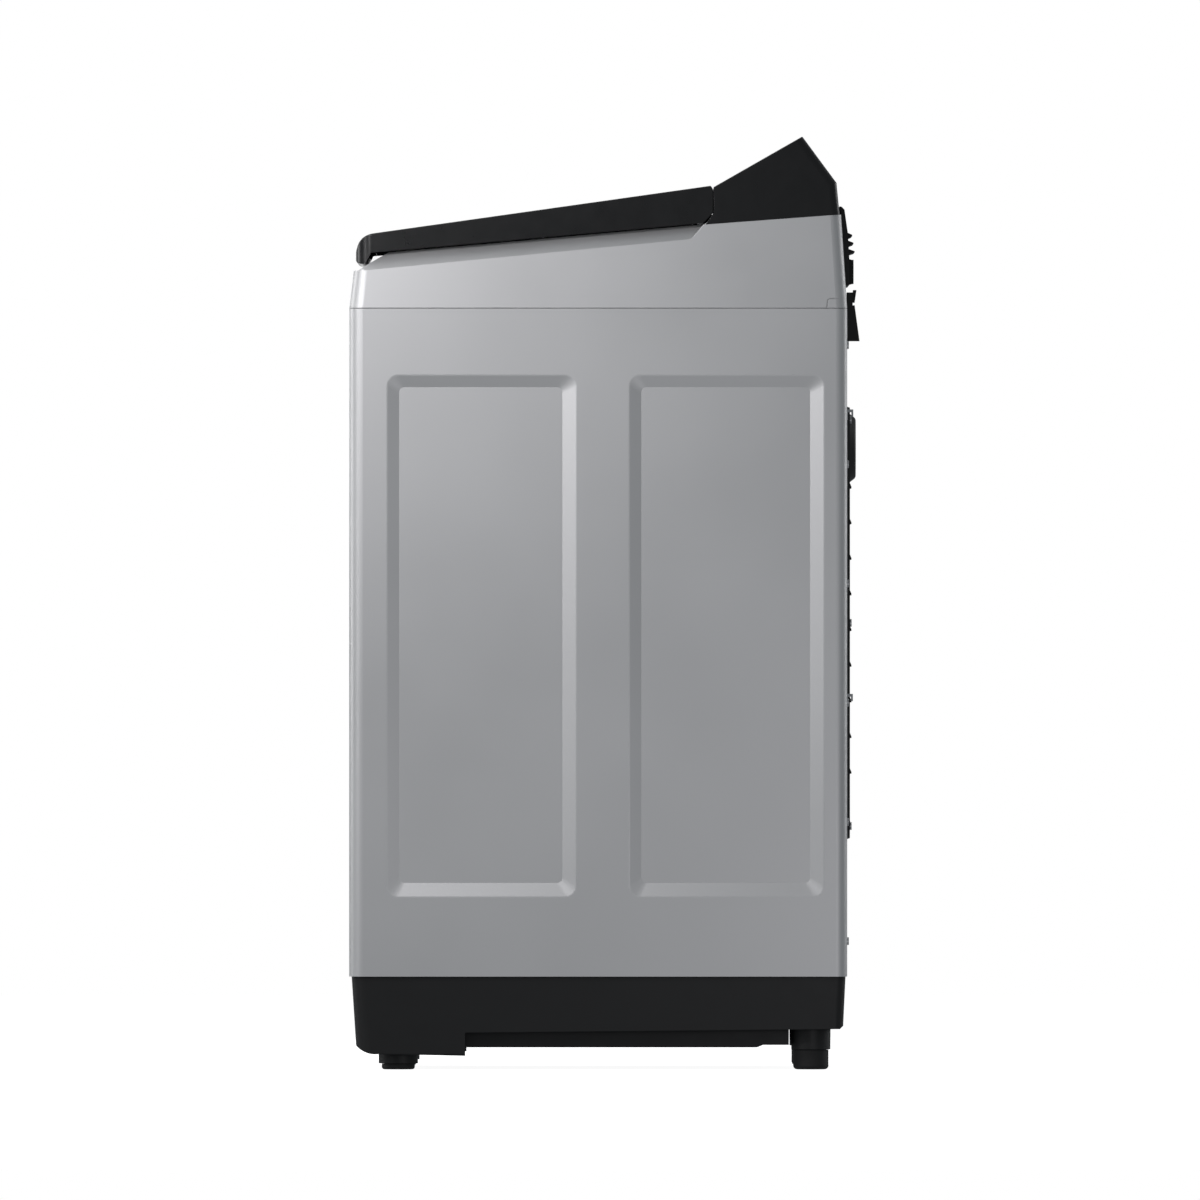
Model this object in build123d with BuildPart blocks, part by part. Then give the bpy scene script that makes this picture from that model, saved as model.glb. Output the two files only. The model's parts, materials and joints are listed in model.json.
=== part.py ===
from build123d import *
import os
from math import atan, cos, sin

# Top load washing machine, millimetres. Origin on the floor at the middle of the footprint.
# +Z is up, the front faces -Y, and +X is the right-hand side of a person facing the front.

os.makedirs("parts", exist_ok=True)

# ---------------------------------------------------------------- driving dimensions
HALF_W = 270.0            # half the cabinet's width
CAB_FRONT = -278.5
CAB_REAR = 264.5
CAB_BOTTOM = 101.5        # joint between the base skirt and the cabinet
CAB_TOP = 829.5           # joint between the cabinet and the top cover
FRONT_R = 15.0            # vertical corner radii
REAR_R = 12.0
SHEET = 1.0               # steel sheet, with its paint
WALL = 3.0                # moulded plastic wall

TUB_Y = -6.75             # the tub stands in the middle of the cabinet
TUB_R = 228.0             # inside radius of the outer tub
TUB_WALL = 3.0
TUB_BOTTOM = 235.0
TUB_TOP = 790.0
DRUM_R = 209.0            # inside radius of the drum
DRUM_BOTTOM = 262.0
ROD_REACH = 190.0         # suspension rods stand this far out from the tub axis along X and Y
EAR_Z = 226.0             # underside of the tub frame's ears
ROD_CUP_Z = 136.0         # top of the cups that carry the springs

UNDER_SLOPE = 0.08956     # rise of the lid's underside towards the rear
RIM_GAP = 1.2             # gap between the closed lid and the rim it covers
LID_REAR = 118.3          # rear face of the closed lid
LID_HALF = 261.0
LID_SLOPE = 0.14098       # rise of the lid's top
HINGE_Y = 110.3
HINGE_Z = 957.5
HINGE_TURN_R = 8.0        # the lid's rear edge is rounded about the hinge axis, so that it turns in its gap
HINGE_PIN_R = 2.0

FOOT_X = 225.0
FOOT_Y = 225.0
FOOT_SHANK_R = 6.0


def lid_under(y):
    """Height of the closed lid's underside."""
    return 890.5 + (y + 254.5) * UNDER_SLOPE


def rim_top(y):
    """Height of the rim that the lid covers."""
    return lid_under(y) - RIM_GAP


def lid_top(y):
    return 912.0 + (y + 251.0) * LID_SLOPE


def console_joint(y):
    """Height of the joint between the top cover and the console."""
    return 921.2 + (y - 107.7) * 0.0743


def rear_face(y_offset, z):
    """Y of the top cover's leaning rear wall, moved out by y_offset."""
    return CAB_REAR - (z - CAB_TOP) * 0.0654 + y_offset


# ---------------------------------------------------------------- helpers
def save(piece, name):
    """Label a finished piece and write it as its own STEP file."""
    piece.part.label = name
    export_step(piece.part, f"parts/{name}.step")


def plan(z, half_x, y_front, y_rear, r_front, r_rear):
    """Sketch a rectangle seen from above, with its own front and rear corner radius."""
    with BuildSketch(Plane.XY.offset(z)) as outline:
        with Locations((0, (y_front + y_rear) / 2)):
            Rectangle(2 * half_x, y_rear - y_front)
        fillet(outline.vertices().group_by(Axis.Y)[-1], r_rear)
        fillet(outline.vertices().group_by(Axis.Y)[0], r_front)
    return outline.sketch


def tube(z0, z1, r_out, r_in=0.0, at=(0.0, TUB_Y), mode=Mode.ADD):
    """Upright cylinder or ring from z0 to z1."""
    with BuildSketch(Plane.XY.offset(z0)) as face:
        with Locations(at):
            Circle(r_out)
            if r_in > 0:
                Circle(r_in, mode=Mode.SUBTRACT)
    extrude(face.sketch, amount=z1 - z0, mode=mode)


def rod_along_y(y0, y1, x, z, r_out, r_in=0.0, mode=Mode.ADD):
    """Round bar or pipe that runs along Y."""
    with BuildSketch(Plane.XZ.offset(-y0)) as face:
        with Locations((x, z)):
            Circle(r_out)
            if r_in > 0:
                Circle(r_in, mode=Mode.SUBTRACT)
    extrude(face.sketch, amount=y0 - y1, mode=mode)


def rod_along_x(x0, x1, y, z, r_out, r_in=0.0, mode=Mode.ADD):
    """Round bar or pipe that runs along X."""
    with BuildSketch(Plane.YZ.offset(x0)) as face:
        with Locations((y, z)):
            Circle(r_out)
            if r_in > 0:
                Circle(r_in, mode=Mode.SUBTRACT)
    extrude(face.sketch, amount=x1 - x0, mode=mode)


def block(x0, x1, y0, y1, z0, z1, mode=Mode.ADD):
    """Box between two corners."""
    with Locations(((x0 + x1) / 2, (y0 + y1) / 2, (z0 + z1) / 2)):
        Box(abs(x1 - x0), abs(y1 - y0), abs(z1 - z0), mode=mode)


def side_prism(points, x0, x1, mode=Mode.ADD):
    """Polygon of (y, z) points, extruded from x0 to x1."""
    with BuildSketch(Plane.YZ.offset(x0)) as face:
        with BuildLine():
            Polyline(*points, close=True)
        make_face()
    extrude(face.sketch, amount=x1 - x0, mode=mode)


def corners(reach_x, reach_y, centre_y=0.0):
    """The four points at plus and minus the two reaches."""
    return [(sx * reach_x, centre_y + sy * reach_y) for sx in (-1, 1) for sy in (-1, 1)]


# ---------------------------------------------------------------- cabinet
RECESS_DEPTH = 4.5
RECESS_Z = (188.6, 757.0)
RECESSES = ((-237.0, -31.0), (27.0, 239.0))     # front and rear panel on each side, along Y
RECESS_R = 12.0
BAND = 13.0                                     # width of the sloping border
BAND_WIDE = 15.0                                # the rear and lower borders are a little wider


def side_recesses(inset):
    """Press the two shallow panels into each side wall, from the surface at HALF_W - inset."""
    z0, z1 = RECESS_Z
    for side in (-1, 1):
        for y0, y1 in RECESSES:
            with BuildSketch(Plane.YZ.offset(side * (HALF_W - inset))) as rim:
                with Locations(((y0 + y1) / 2, (z0 + z1) / 2)):
                    RectangleRounded(y1 - y0, z1 - z0, RECESS_R)
            with BuildSketch(Plane.YZ.offset(side * (HALF_W - inset - RECESS_DEPTH))) as floor:
                with Locations(((y0 + y1 + BAND - BAND_WIDE) / 2, (z0 + z1 - BAND + BAND_WIDE) / 2)):
                    RectangleRounded(y1 - y0 - BAND - BAND_WIDE, z1 - z0 - BAND - BAND_WIDE, RECESS_R / 2)
            loft([rim.sketch, floor.sketch], mode=Mode.SUBTRACT)


with BuildPart() as cabinet_room:
    extrude(plan(CAB_BOTTOM, HALF_W - SHEET, CAB_FRONT + SHEET, CAB_REAR - SHEET, FRONT_R - SHEET,
                 REAR_R - SHEET), amount=CAB_TOP - CAB_BOTTOM)
    side_recesses(SHEET)

REAR_SCREW_X = 246.0
REAR_SCREWS_Z = [140.0 + 130.0 * k for k in range(6)]
SCREW_HOLE_R = 2.2

with BuildPart() as cabinet:
    extrude(plan(CAB_BOTTOM, HALF_W, CAB_FRONT, CAB_REAR, FRONT_R, REAR_R), amount=CAB_TOP - CAB_BOTTOM)
    side_recesses(0)
    for side_x in (-HALF_W, HALF_W):
        rims = cabinet.edges().filter_by_position(Axis.X, side_x - 0.01, side_x + 0.01)
        rims = rims.filter_by_position(Axis.Z, RECESS_Z[0] - 0.1, RECESS_Z[1] + 0.1)
        rims = rims.filter_by_position(Axis.Y, RECESSES[0][0] - 0.1, RECESSES[1][1] + 0.1)
        fillet(rims, 6.0)
    add(cabinet_room.part, mode=Mode.SUBTRACT)
    block(-235, 235, CAB_REAR - 5, CAB_REAR + 5, CAB_BOTTOM, CAB_TOP, mode=Mode.SUBTRACT)
    for side in (-1, 1):
        for hole_z in REAR_SCREWS_Z:
            rod_along_y(CAB_REAR - 5, CAB_REAR + 5, side * REAR_SCREW_X, hole_z, SCREW_HOLE_R,
                        mode=Mode.SUBTRACT)
save(cabinet, "cabinet")

# ---------------------------------------------------------------- rear panel and its cover
PANEL_OUT = CAB_REAR - SHEET
SERVICE_X = 150.0
SERVICE_Z = (250.0, 724.0)
SERVICE_OUT = 268.1
DOME_Z = 678.5
DOME_R = 38.0
DOME_OUT = 275.2
OUTLET_X = 128.0
OUTLET_Z = 812.0
BEAD_DEPTH = 1.6
GLAND_X = -196.0
GLAND_Z = 355.0
CLIP_X = 196.0
COVER_SCREWS = [(sx * (SERVICE_X - 9), z) for sx in (-1, 1) for z in (265.0, 487.0, 709.0)]

with BuildPart() as rear_panel:
    block(-256, 256, PANEL_OUT - SHEET, PANEL_OUT, CAB_BOTTOM + 2, CAB_TOP - 2)
    # stiffening beads pressed inwards on both sides of the service opening
    for side in (-1, 1):
        for bead in range(5):
            bead_z = 190.0 + 130.0 * bead
            with BuildSketch(Plane.XZ.offset(SHEET - PANEL_OUT)):
                with Locations((side * 196.0, bead_z)):
                    SlotOverall(66, 18)
            extrude(amount=BEAD_DEPTH)
            with BuildSketch(Plane.XZ.offset(-PANEL_OUT)):
                with Locations((side * 196.0, bead_z)):
                    SlotOverall(62, 14)
            extrude(amount=BEAD_DEPTH, mode=Mode.SUBTRACT)
    with BuildSketch(Plane.XZ.offset(-PANEL_OUT)):
        with Locations((0, (SERVICE_Z[0] + SERVICE_Z[1]) / 2)):
            RectangleRounded(2 * SERVICE_X - 36, SERVICE_Z[1] - SERVICE_Z[0] - 36, 18)
        with Locations((GLAND_X, GLAND_Z)):
            Circle(9.2)
        with Locations((OUTLET_X, OUTLET_Z)):
            Circle(15.0)
    extrude(amount=SHEET, mode=Mode.SUBTRACT)
    for side in (-1, 1):
        for hole_z in REAR_SCREWS_Z:
            rod_along_y(250, 270, side * REAR_SCREW_X, hole_z, SCREW_HOLE_R, mode=Mode.SUBTRACT)
    for hole_x, hole_z in COVER_SCREWS:
        rod_along_y(250, 270, hole_x, hole_z, SCREW_HOLE_R, mode=Mode.SUBTRACT)
save(rear_panel, "rear_panel")

COVER_WALL = 1.6
LOUVRE_PITCH = 39.0
LOUVRES = [637.0 - LOUVRE_PITCH * k for k in range(9)]

with BuildPart() as rear_service_cover:
    with BuildSketch(Plane.XZ.offset(-PANEL_OUT)):
        with Locations((0, (SERVICE_Z[0] + SERVICE_Z[1]) / 2)):
            RectangleRounded(2 * SERVICE_X, SERVICE_Z[1] - SERVICE_Z[0], 24)
    extrude(amount=-(SERVICE_OUT - PANEL_OUT), taper=20)
    # the round bulge clears the end of the tub's vent
    with BuildSketch(Plane.XZ.offset(-SERVICE_OUT)):
        with Locations((0, DOME_Z)):
            Circle(DOME_R)
    extrude(amount=-(DOME_OUT - SERVICE_OUT), taper=38)
    fillet(rear_service_cover.faces().sort_by(Axis.Y)[-1].edges(), 5.0)
    with BuildSketch(Plane.XZ.offset(-PANEL_OUT)):
        with Locations((0, (SERVICE_Z[0] + SERVICE_Z[1]) / 2)):
            RectangleRounded(2 * SERVICE_X - 38, SERVICE_Z[1] - SERVICE_Z[0] - 38, 16)
    extrude(amount=-(SERVICE_OUT - COVER_WALL - PANEL_OUT), taper=10, mode=Mode.SUBTRACT)
    with BuildSketch(Plane.XZ.offset(-(SERVICE_OUT - COVER_WALL - 0.1))):
        with Locations((0, DOME_Z)):
            Circle(DOME_R - 3)
    extrude(amount=-(DOME_OUT - SERVICE_OUT), taper=38, mode=Mode.SUBTRACT)
    # louvres: a raised lip over each slot
    for louvre_z in LOUVRES:
        side_prism([(SERVICE_OUT - 0.3, louvre_z + 4), (SERVICE_OUT + 1.9, louvre_z - 1),
                    (SERVICE_OUT + 1.9, louvre_z - 3), (SERVICE_OUT - 0.3, louvre_z - 3)], -105, 105)
        for slot_x in (-70, 0, 70):
            block(slot_x - 30, slot_x + 30, 260, 280, louvre_z - 7.5, louvre_z - 3, mode=Mode.SUBTRACT)
    for hole_x, hole_z in COVER_SCREWS:
        rod_along_y(250, 280, hole_x, hole_z, SCREW_HOLE_R, mode=Mode.SUBTRACT)
save(rear_service_cover, "rear_service_cover")


def screw(x, z, y_seat):
    """Pan-head screw driven along -Y, with a cross recess."""
    rod_along_y(y_seat, y_seat + 1.9, x, z, 4.2)
    rod_along_y(y_seat, y_seat - 8.0, x, z, 1.9)
    block(x - 2.4, x + 2.4, y_seat + 0.9, y_seat + 3, z - 0.5, z + 0.5, mode=Mode.SUBTRACT)
    block(x - 0.5, x + 0.5, y_seat + 0.9, y_seat + 3, z - 2.4, z + 2.4, mode=Mode.SUBTRACT)


with BuildPart() as cabinet_screws:
    for side in (-1, 1):
        for screw_z in REAR_SCREWS_Z:
            screw(side * REAR_SCREW_X, screw_z, CAB_REAR)
    for screw_x, screw_z in COVER_SCREWS:
        screw(screw_x, screw_z, SERVICE_OUT)
save(cabinet_screws, "cabinet_screws")

with BuildPart() as power_cord_gland:
    rod_along_y(PANEL_OUT, PANEL_OUT + 6.4, GLAND_X, GLAND_Z, 14.0)
    fillet(power_cord_gland.edges().group_by(Axis.Y)[-1], 3.0)
    rod_along_y(PANEL_OUT - 8, PANEL_OUT, GLAND_X, GLAND_Z, 9.0)
    rod_along_y(PANEL_OUT - 10, PANEL_OUT + 8, GLAND_X, GLAND_Z, 4.0, mode=Mode.SUBTRACT)
save(power_cord_gland, "power_cord_gland")

with BuildPart() as hose_clips:
    # open hooks that hold the drain hose against the rear panel
    for clip_z, reach in ((717.5, 271.4), (407.0, 271.0)):
        block(CLIP_X - 14, CLIP_X + 14, PANEL_OUT, PANEL_OUT + 2, clip_z - 9, clip_z + 2.5)
        block(CLIP_X - 11, CLIP_X + 11, PANEL_OUT + 1, reach, clip_z - 0.5, clip_z + 2.5)
        block(CLIP_X - 11, CLIP_X + 11, reach - 2, reach, clip_z - 5.5, clip_z + 2.5)
save(hose_clips, "hose_clips")

# ---------------------------------------------------------------- drain outlet
with BuildPart() as drain_outlet:
    # bracket with an upstand that the hose hangs over, and the hood below it
    hood_x0 = OUTLET_X - 34
    hood_x1 = OUTLET_X + 34
    seat_y = CAB_REAR + 0.1
    block(hood_x0, hood_x1, seat_y, 271.0, 833.0, 848.0)
    side_prism([(271.0, 837.0), (273.2, 837.0), (275.2, 850.6), (271.6, 850.6), (271.0, 846.0)],
               hood_x0 + 4, hood_x1 - 4)
    side_prism([(seat_y, 834.0), (273.2, 833.9), (278.5, 795.0), (276.0, 795.0), (271.2, 830.0),
                (seat_y, 830.0)], hood_x0, hood_x1)
    for cheek_x in (hood_x0, hood_x1 - 3):
        side_prism([(PANEL_OUT, CAB_TOP - 0.5), (seat_y, CAB_TOP - 0.5), (seat_y, 833.5), (273.0, 833.5),
                    (278.2, 795.0), (PANEL_OUT, 795.0)], cheek_x, cheek_x + 3)
    rod_along_y(240.0, 273.0, OUTLET_X, OUTLET_Z, 13.0)
    rod_along_y(262.0, PANEL_OUT + 2, OUTLET_X, OUTLET_Z, 14.6)
    rod_along_y(PANEL_OUT, PANEL_OUT + 2.4, OUTLET_X, OUTLET_Z, 17.0)
    rod_along_y(239.0, 274.0, OUTLET_X, OUTLET_Z, 10.5, mode=Mode.SUBTRACT)
    block(OUTLET_X - 20, OUTLET_X + 20, 273.05, 290, 797, 827, mode=Mode.SUBTRACT)
save(drain_outlet, "drain_outlet")

# ---------------------------------------------------------------- base
BASE_LOW = 15.0
BASE_DECK = 98.0
FOOT_FRONT_Z = 6.5        # lower end of the foot towers
FOOT_REAR_Z = 21.8
STEP_Y = -152.0           # behind this the skirt is shallower

with BuildPart() as base_room:
    loft([plan(BASE_LOW, 258.7, -266.8, 255.2, 12, 9), plan(BASE_DECK, 263.5, -272.3, 259.3, 12, 9)])

with BuildPart() as base:
    loft([plan(BASE_LOW, 262.2, -270.3, 258.7, 14, 11), plan(CAB_BOTTOM, 267.0, -275.8, 262.7, 14, 11)])
    fillet(base.faces().sort_by(Axis.Z)[0].edges(), 3.0)
    add(base_room.part, mode=Mode.SUBTRACT)
    with BuildSketch(Plane.XY.offset(BASE_DECK - 10)):
        with Locations((0, TUB_Y)):
            RectangleRounded(450, 452, 70)
    extrude(amount=30, mode=Mode.SUBTRACT)
    # the skirt is deeper at the front; behind the step it ends higher and rises slightly
    side_prism([(STEP_Y, 0.0), (STEP_Y, 40.3), (256.5, 44.2), (260.6, 48.0), (300.0, 48.0), (300.0, 0.0)],
               -300, 300, mode=Mode.SUBTRACT)
    with BuildSketch(Plane.YZ.offset(-300)):
        with BuildLine():
            Line((-300.0, 27.0), (-271.6, 27.0))
            ThreePointArc((-271.6, 27.0), (-263.5, 20.2), (-246.0, 17.0))
            Polyline((-246.0, 17.0), (STEP_Y, 15.0), (STEP_Y, 0.0), (-300.0, 0.0), (-300.0, 27.0))
        make_face()
    extrude(amount=600, mode=Mode.SUBTRACT)
    # towers that carry the feet, tied to the skirt by ribs
    for foot_y, tower_z in ((-FOOT_Y, FOOT_FRONT_Z), (FOOT_Y, FOOT_REAR_Z)):
        for side in (-1, 1):
            tube(tower_z, BASE_DECK, 21.5, at=(side * FOOT_X, foot_y))
            rib_y = foot_y + (36 if foot_y > 0 else -44)
            block(side * FOOT_X - 2, side * FOOT_X + 2, min(foot_y, rib_y + 2), max(foot_y, rib_y - 4),
                  50, BASE_DECK)
            block(min(side * FOOT_X, side * 260), max(side * FOOT_X, side * 260), foot_y - 2, foot_y + 2,
                  50, BASE_DECK)
            tube(0, 92, FOOT_SHANK_R + 0.1, at=(side * FOOT_X, foot_y), mode=Mode.SUBTRACT)
save(base, "base")

TRAY_Z = 24.0
TRAY_Y = STEP_Y + 0.2
with BuildPart() as bottom_cover:
    tray = [(TRAY_Y, 60.0), (TRAY_Y, TRAY_Z), (166.0, TRAY_Z), (173.0, TRAY_Z + 2.7),
            (201.0, TRAY_Z + 2.7), (201.0, 60.0)]
    side_prism(tray, -236, 236)
    room = [(TRAY_Y + 2, 70.0), (TRAY_Y + 2, TRAY_Z + 2), (165.0, TRAY_Z + 2), (172.0, TRAY_Z + 4.7),
            (199.0, TRAY_Z + 4.7), (199.0, 70.0)]
    side_prism(room, -234, 234, mode=Mode.SUBTRACT)
    for side in (-1, 1):
        block(side * 234, side * 258, TRAY_Y, 201, 58, 60)
    with Locations((0, 0, TRAY_Z)):
        with GridLocations(90, 34, 3, 6):
            Box(64, 8, 12, mode=Mode.SUBTRACT)
save(bottom_cover, "bottom_cover")


def levelling_foot(name, x, y, pad_r, tower_z):
    """Rubber pad moulded on a threaded stud. The stud runs in the base's tower."""
    with BuildPart() as foot:
        tube(0, tower_z - 0.3, pad_r, at=(x, y))
        fillet(foot.edges().group_by(Axis.Z)[0], min(4.5, 0.45 * tower_z))
        tube(tower_z - 0.4, tower_z + 44, FOOT_SHANK_R, at=(x, y))
    save(foot, name)


for side, hand in ((-1, "left"), (1, "right")):
    levelling_foot(f"levelling_foot_front_{hand}", side * FOOT_X, -FOOT_Y, 18.0, FOOT_FRONT_Z)
    levelling_foot(f"levelling_foot_rear_{hand}", side * FOOT_X, FOOT_Y, 19.3, FOOT_REAR_Z)

# ---------------------------------------------------------------- suspension
ROD_R = 4.0
ROD_TOP = 806.0
ROD_POINTS = corners(ROD_REACH, ROD_REACH, TUB_Y)

with BuildPart() as corner_brackets:
    # folded steel corners that hang the rods from the top of the cabinet
    for sx in (-1, 1):
        for sy in (-1, 1):
            rod_x = sx * ROD_REACH
            rod_y = TUB_Y + sy * ROD_REACH
            wall_y = (CAB_REAR - 2 * SHEET - 0.2) if sy > 0 else (CAB_FRONT + SHEET)
            wall_x = sx * (HALF_W - SHEET - RECESS_DEPTH - 0.5)
            with BuildSketch(Plane.XY.offset(798)):
                with BuildLine():
                    Polyline((rod_x - sx * 22, wall_y), (sx * 250, wall_y), (wall_x, wall_y - sy * 16),
                             (wall_x, rod_y - sy * 22), (rod_x - sx * 8, rod_y - sy * 18),
                             (rod_x - sx * 18, rod_y - sy * 8), close=True)
                make_face()
                with Locations((rod_x, rod_y)):
                    Circle(ROD_R + 1.0, mode=Mode.SUBTRACT)
            extrude(amount=4)
            block(min(wall_x, wall_x - sx * 2), max(wall_x, wall_x - sx * 2),
                  min(rod_y - sy * 22, wall_y - sy * 16), max(rod_y - sy * 22, wall_y - sy * 16), 770, 800)
save(corner_brackets, "corner_brackets")

with BuildPart() as suspension_rods:
    # each rod has a ball seat above its bracket and a cup below its spring
    for point in ROD_POINTS:
        tube(ROD_CUP_Z - 12, ROD_TOP, ROD_R, at=point)
        tube(802, ROD_TOP + 6, 9.0, at=point)
        tube(ROD_CUP_Z - 6, ROD_CUP_Z, 18.0, at=point)
save(suspension_rods, "suspension_rods")

SPRING_R = 12.5
SPRING_WIRE = 1.5
SPRING_PITCH = 10.0
SPRING_H = EAR_Z - ROD_CUP_Z - 2 * SPRING_WIRE - 0.4

with BuildPart() as suspension_springs:
    for point in ROD_POINTS:
        spring_z = ROD_CUP_Z + SPRING_WIRE + 0.2
        with BuildLine():
            coil = Helix(pitch=SPRING_PITCH, height=SPRING_H, radius=SPRING_R,
                         center=(point[0], point[1], spring_z))
        with BuildSketch(Plane(origin=coil @ 0, z_dir=coil % 0)):
            Circle(SPRING_WIRE)
        sweep()
save(suspension_springs, "suspension_springs")

with BuildPart() as tub_frame:
    # steel cross under the tub: its arms end in the ears that rest on the springs
    arm_len = 2 * (ROD_REACH * 2 ** 0.5 + 18)
    with BuildSketch(Plane.XY.offset(EAR_Z)):
        with Locations((0, TUB_Y)):
            Rectangle(arm_len, 64, rotation=45)
            Rectangle(arm_len, 64, rotation=-45)
            Circle(122)
        with Locations(*ROD_POINTS):
            Circle(ROD_R + 1.5, mode=Mode.SUBTRACT)
        with Locations((0, TUB_Y)):
            Circle(30.5, mode=Mode.SUBTRACT)
    extrude(amount=4)
    # raised flanges along the arms
    for turn in (45, 135):
        for offset_y in (-30.5, 30.5):
            with BuildSketch(Plane.XY.offset(EAR_Z)):
                with Locations((0, TUB_Y)):
                    with Locations(Location((0, 0, 0), (0, 0, turn))):
                        with Locations((0, offset_y)):
                            Rectangle(2 * 225, 3)
                with Locations((0, TUB_Y)):
                    Circle(122, mode=Mode.SUBTRACT)
            extrude(amount=TUB_BOTTOM - EAR_Z)
save(tub_frame, "tub_frame")

# ---------------------------------------------------------------- outer tub
with BuildPart() as outer_tub:
    tube(TUB_BOTTOM, TUB_TOP, TUB_R + TUB_WALL)
    tube(TUB_BOTTOM + 4, TUB_TOP, TUB_R, mode=Mode.SUBTRACT)
    for rib_z in (330.0, 430.0, 530.0, 630.0, 730.0):
        tube(rib_z, rib_z + 3, TUB_R + TUB_WALL + 4, TUB_R + 1)
    tube(TUB_TOP - 5, TUB_TOP, TUB_R + TUB_WALL + 5, TUB_R)
    tube(TUB_BOTTOM, TUB_BOTTOM + 10, 36, 28.0)
    tube(TUB_BOTTOM - 1, TUB_BOTTOM + 5, 28.0, mode=Mode.SUBTRACT)
    # drain well above the pump
    tube(TUB_BOTTOM - 2, TUB_BOTTOM + 5, 14.0, at=(60.0, 165.0), mode=Mode.SUBTRACT)
save(outer_tub, "outer_tub")

with BuildPart() as tub_cover:
    tube(TUB_TOP, TUB_TOP + 3, TUB_R + TUB_WALL + 5, 200)
    tube(TUB_TOP, TUB_TOP + 16, 203, 200)
    tube(TUB_TOP + 13, TUB_TOP + 16, 203, 189)
    tube(TUB_TOP, TUB_TOP + 7, TUB_R + TUB_WALL + 5, TUB_R + 5)
save(tub_cover, "tub_cover")

CLUTCH_LOW = 168.0
with BuildPart() as clutch_housing:
    tube(CLUTCH_LOW, EAR_Z, 52, 30)
    tube(EAR_Z - 6, EAR_Z, 100, 30)
    tube(198, 208, 31, 20)
    for k in range(6):
        with Locations((0, TUB_Y, 0)):
            with PolarLocations(0, 1, start_angle=30 + 60 * k):
                with Locations((70, 0, (CLUTCH_LOW + EAR_Z) / 2 + 8)):
                    Box(44, 5, EAR_Z - CLUTCH_LOW - 16)
save(clutch_housing, "clutch_housing")

with BuildPart() as drum_bearings:
    for race_z in (182.0, 210.0):
        tube(race_z, race_z + 15, 29.95, 25)
        tube(race_z, race_z + 15, 20, 16.05)
        tube(race_z + 2, race_z + 13, 25, 20)
save(drum_bearings, "drum_bearings")

with BuildPart() as tub_seal:
    tube(TUB_BOTTOM, TUB_BOTTOM + 10, 27.9, 22)
    tube(TUB_BOTTOM + 7, TUB_BOTTOM + 10, 24, 16.06)
save(tub_seal, "tub_seal")

STATOR_POLES = 36
with BuildPart() as stator:
    tube(132, 158, 84, 44)
    tube(158, CLUTCH_LOW, 62, 44)
    with BuildSketch(Plane.XY.offset(134)):
        with Locations((0, TUB_Y)):
            with PolarLocations(99, STATOR_POLES):
                Rectangle(34, 8)
            with PolarLocations(114.5, STATOR_POLES):
                Rectangle(4, 15)
    extrude(amount=22)
save(stator, "stator")

with BuildPart() as rotor:
    tube(118, 122, 130)
    tube(118, 166, 130, 121.5)
    tube(118, 130, 26)
    tube(110, 131, 8.0, mode=Mode.SUBTRACT)
    with Locations((0, TUB_Y, 120)):
        with PolarLocations(76, 12):
            Box(46, 10, 12, mode=Mode.SUBTRACT)
save(rotor, "rotor")

with BuildPart() as pulsator_shaft:
    tube(116, 300, 8.0)
    tube(112, 116, 13.0)
    tube(290, 301, 3.0, mode=Mode.SUBTRACT)
save(pulsator_shaft, "pulsator_shaft")

with BuildPart() as drum_shaft:
    tube(164, DRUM_BOTTOM, 16.0, 8.05)
    tube(DRUM_BOTTOM - 9, DRUM_BOTTOM, 60, 8.05)
save(drum_shaft, "drum_shaft")

PUMP_AT = (60.0, 165.0)
PUMP_OUT_Z = 178.0
with BuildPart() as drain_pump:
    tube(196, 232, 34, at=PUMP_AT)
    tube(232, TUB_BOTTOM, 20, at=PUMP_AT)
    tube(150, 196, 26, at=PUMP_AT)
    rod_along_x(60, 103, PUMP_AT[1], PUMP_OUT_Z, 13.0)
    tube(205, TUB_BOTTOM + 1, 12, at=PUMP_AT, mode=Mode.SUBTRACT)
    rod_along_x(70, 104, PUMP_AT[1], PUMP_OUT_Z, 10.5, mode=Mode.SUBTRACT)
save(drain_pump, "drain_pump")

HOSE_R = 15.0
HOSE_BORE = 13.05
HOSE_Y = 216.0
HOSE_ROUTE = [(90.0, PUMP_AT[1], PUMP_OUT_Z), (OUTLET_X, PUMP_AT[1], PUMP_OUT_Z),
              (OUTLET_X, HOSE_Y, PUMP_OUT_Z),
              (OUTLET_X, HOSE_Y, OUTLET_Z), (OUTLET_X, 254.0, OUTLET_Z)]
HOSE_BENDS = [22.0, 26.0, 26.0]
with BuildPart() as drain_hose:
    with BuildLine() as hose_line:
        FilletPolyline(*HOSE_ROUTE, radius=HOSE_BENDS)
    with BuildSketch(Plane(origin=hose_line.wires()[0] @ 0, z_dir=hose_line.wires()[0] % 0)):
        Circle(HOSE_R)
        Circle(HOSE_BORE, mode=Mode.SUBTRACT)
    sweep(path=hose_line.wires()[0])
save(drain_hose, "drain_hose")

# ---------------------------------------------------------------- drum
RING_LOW = 735.0
DRUM_SHEET = 0.7
with BuildPart() as basket_wall:
    tube(DRUM_BOTTOM + 3, RING_LOW, DRUM_R + DRUM_SHEET, DRUM_R)
save(basket_wall, "basket_wall")

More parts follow.
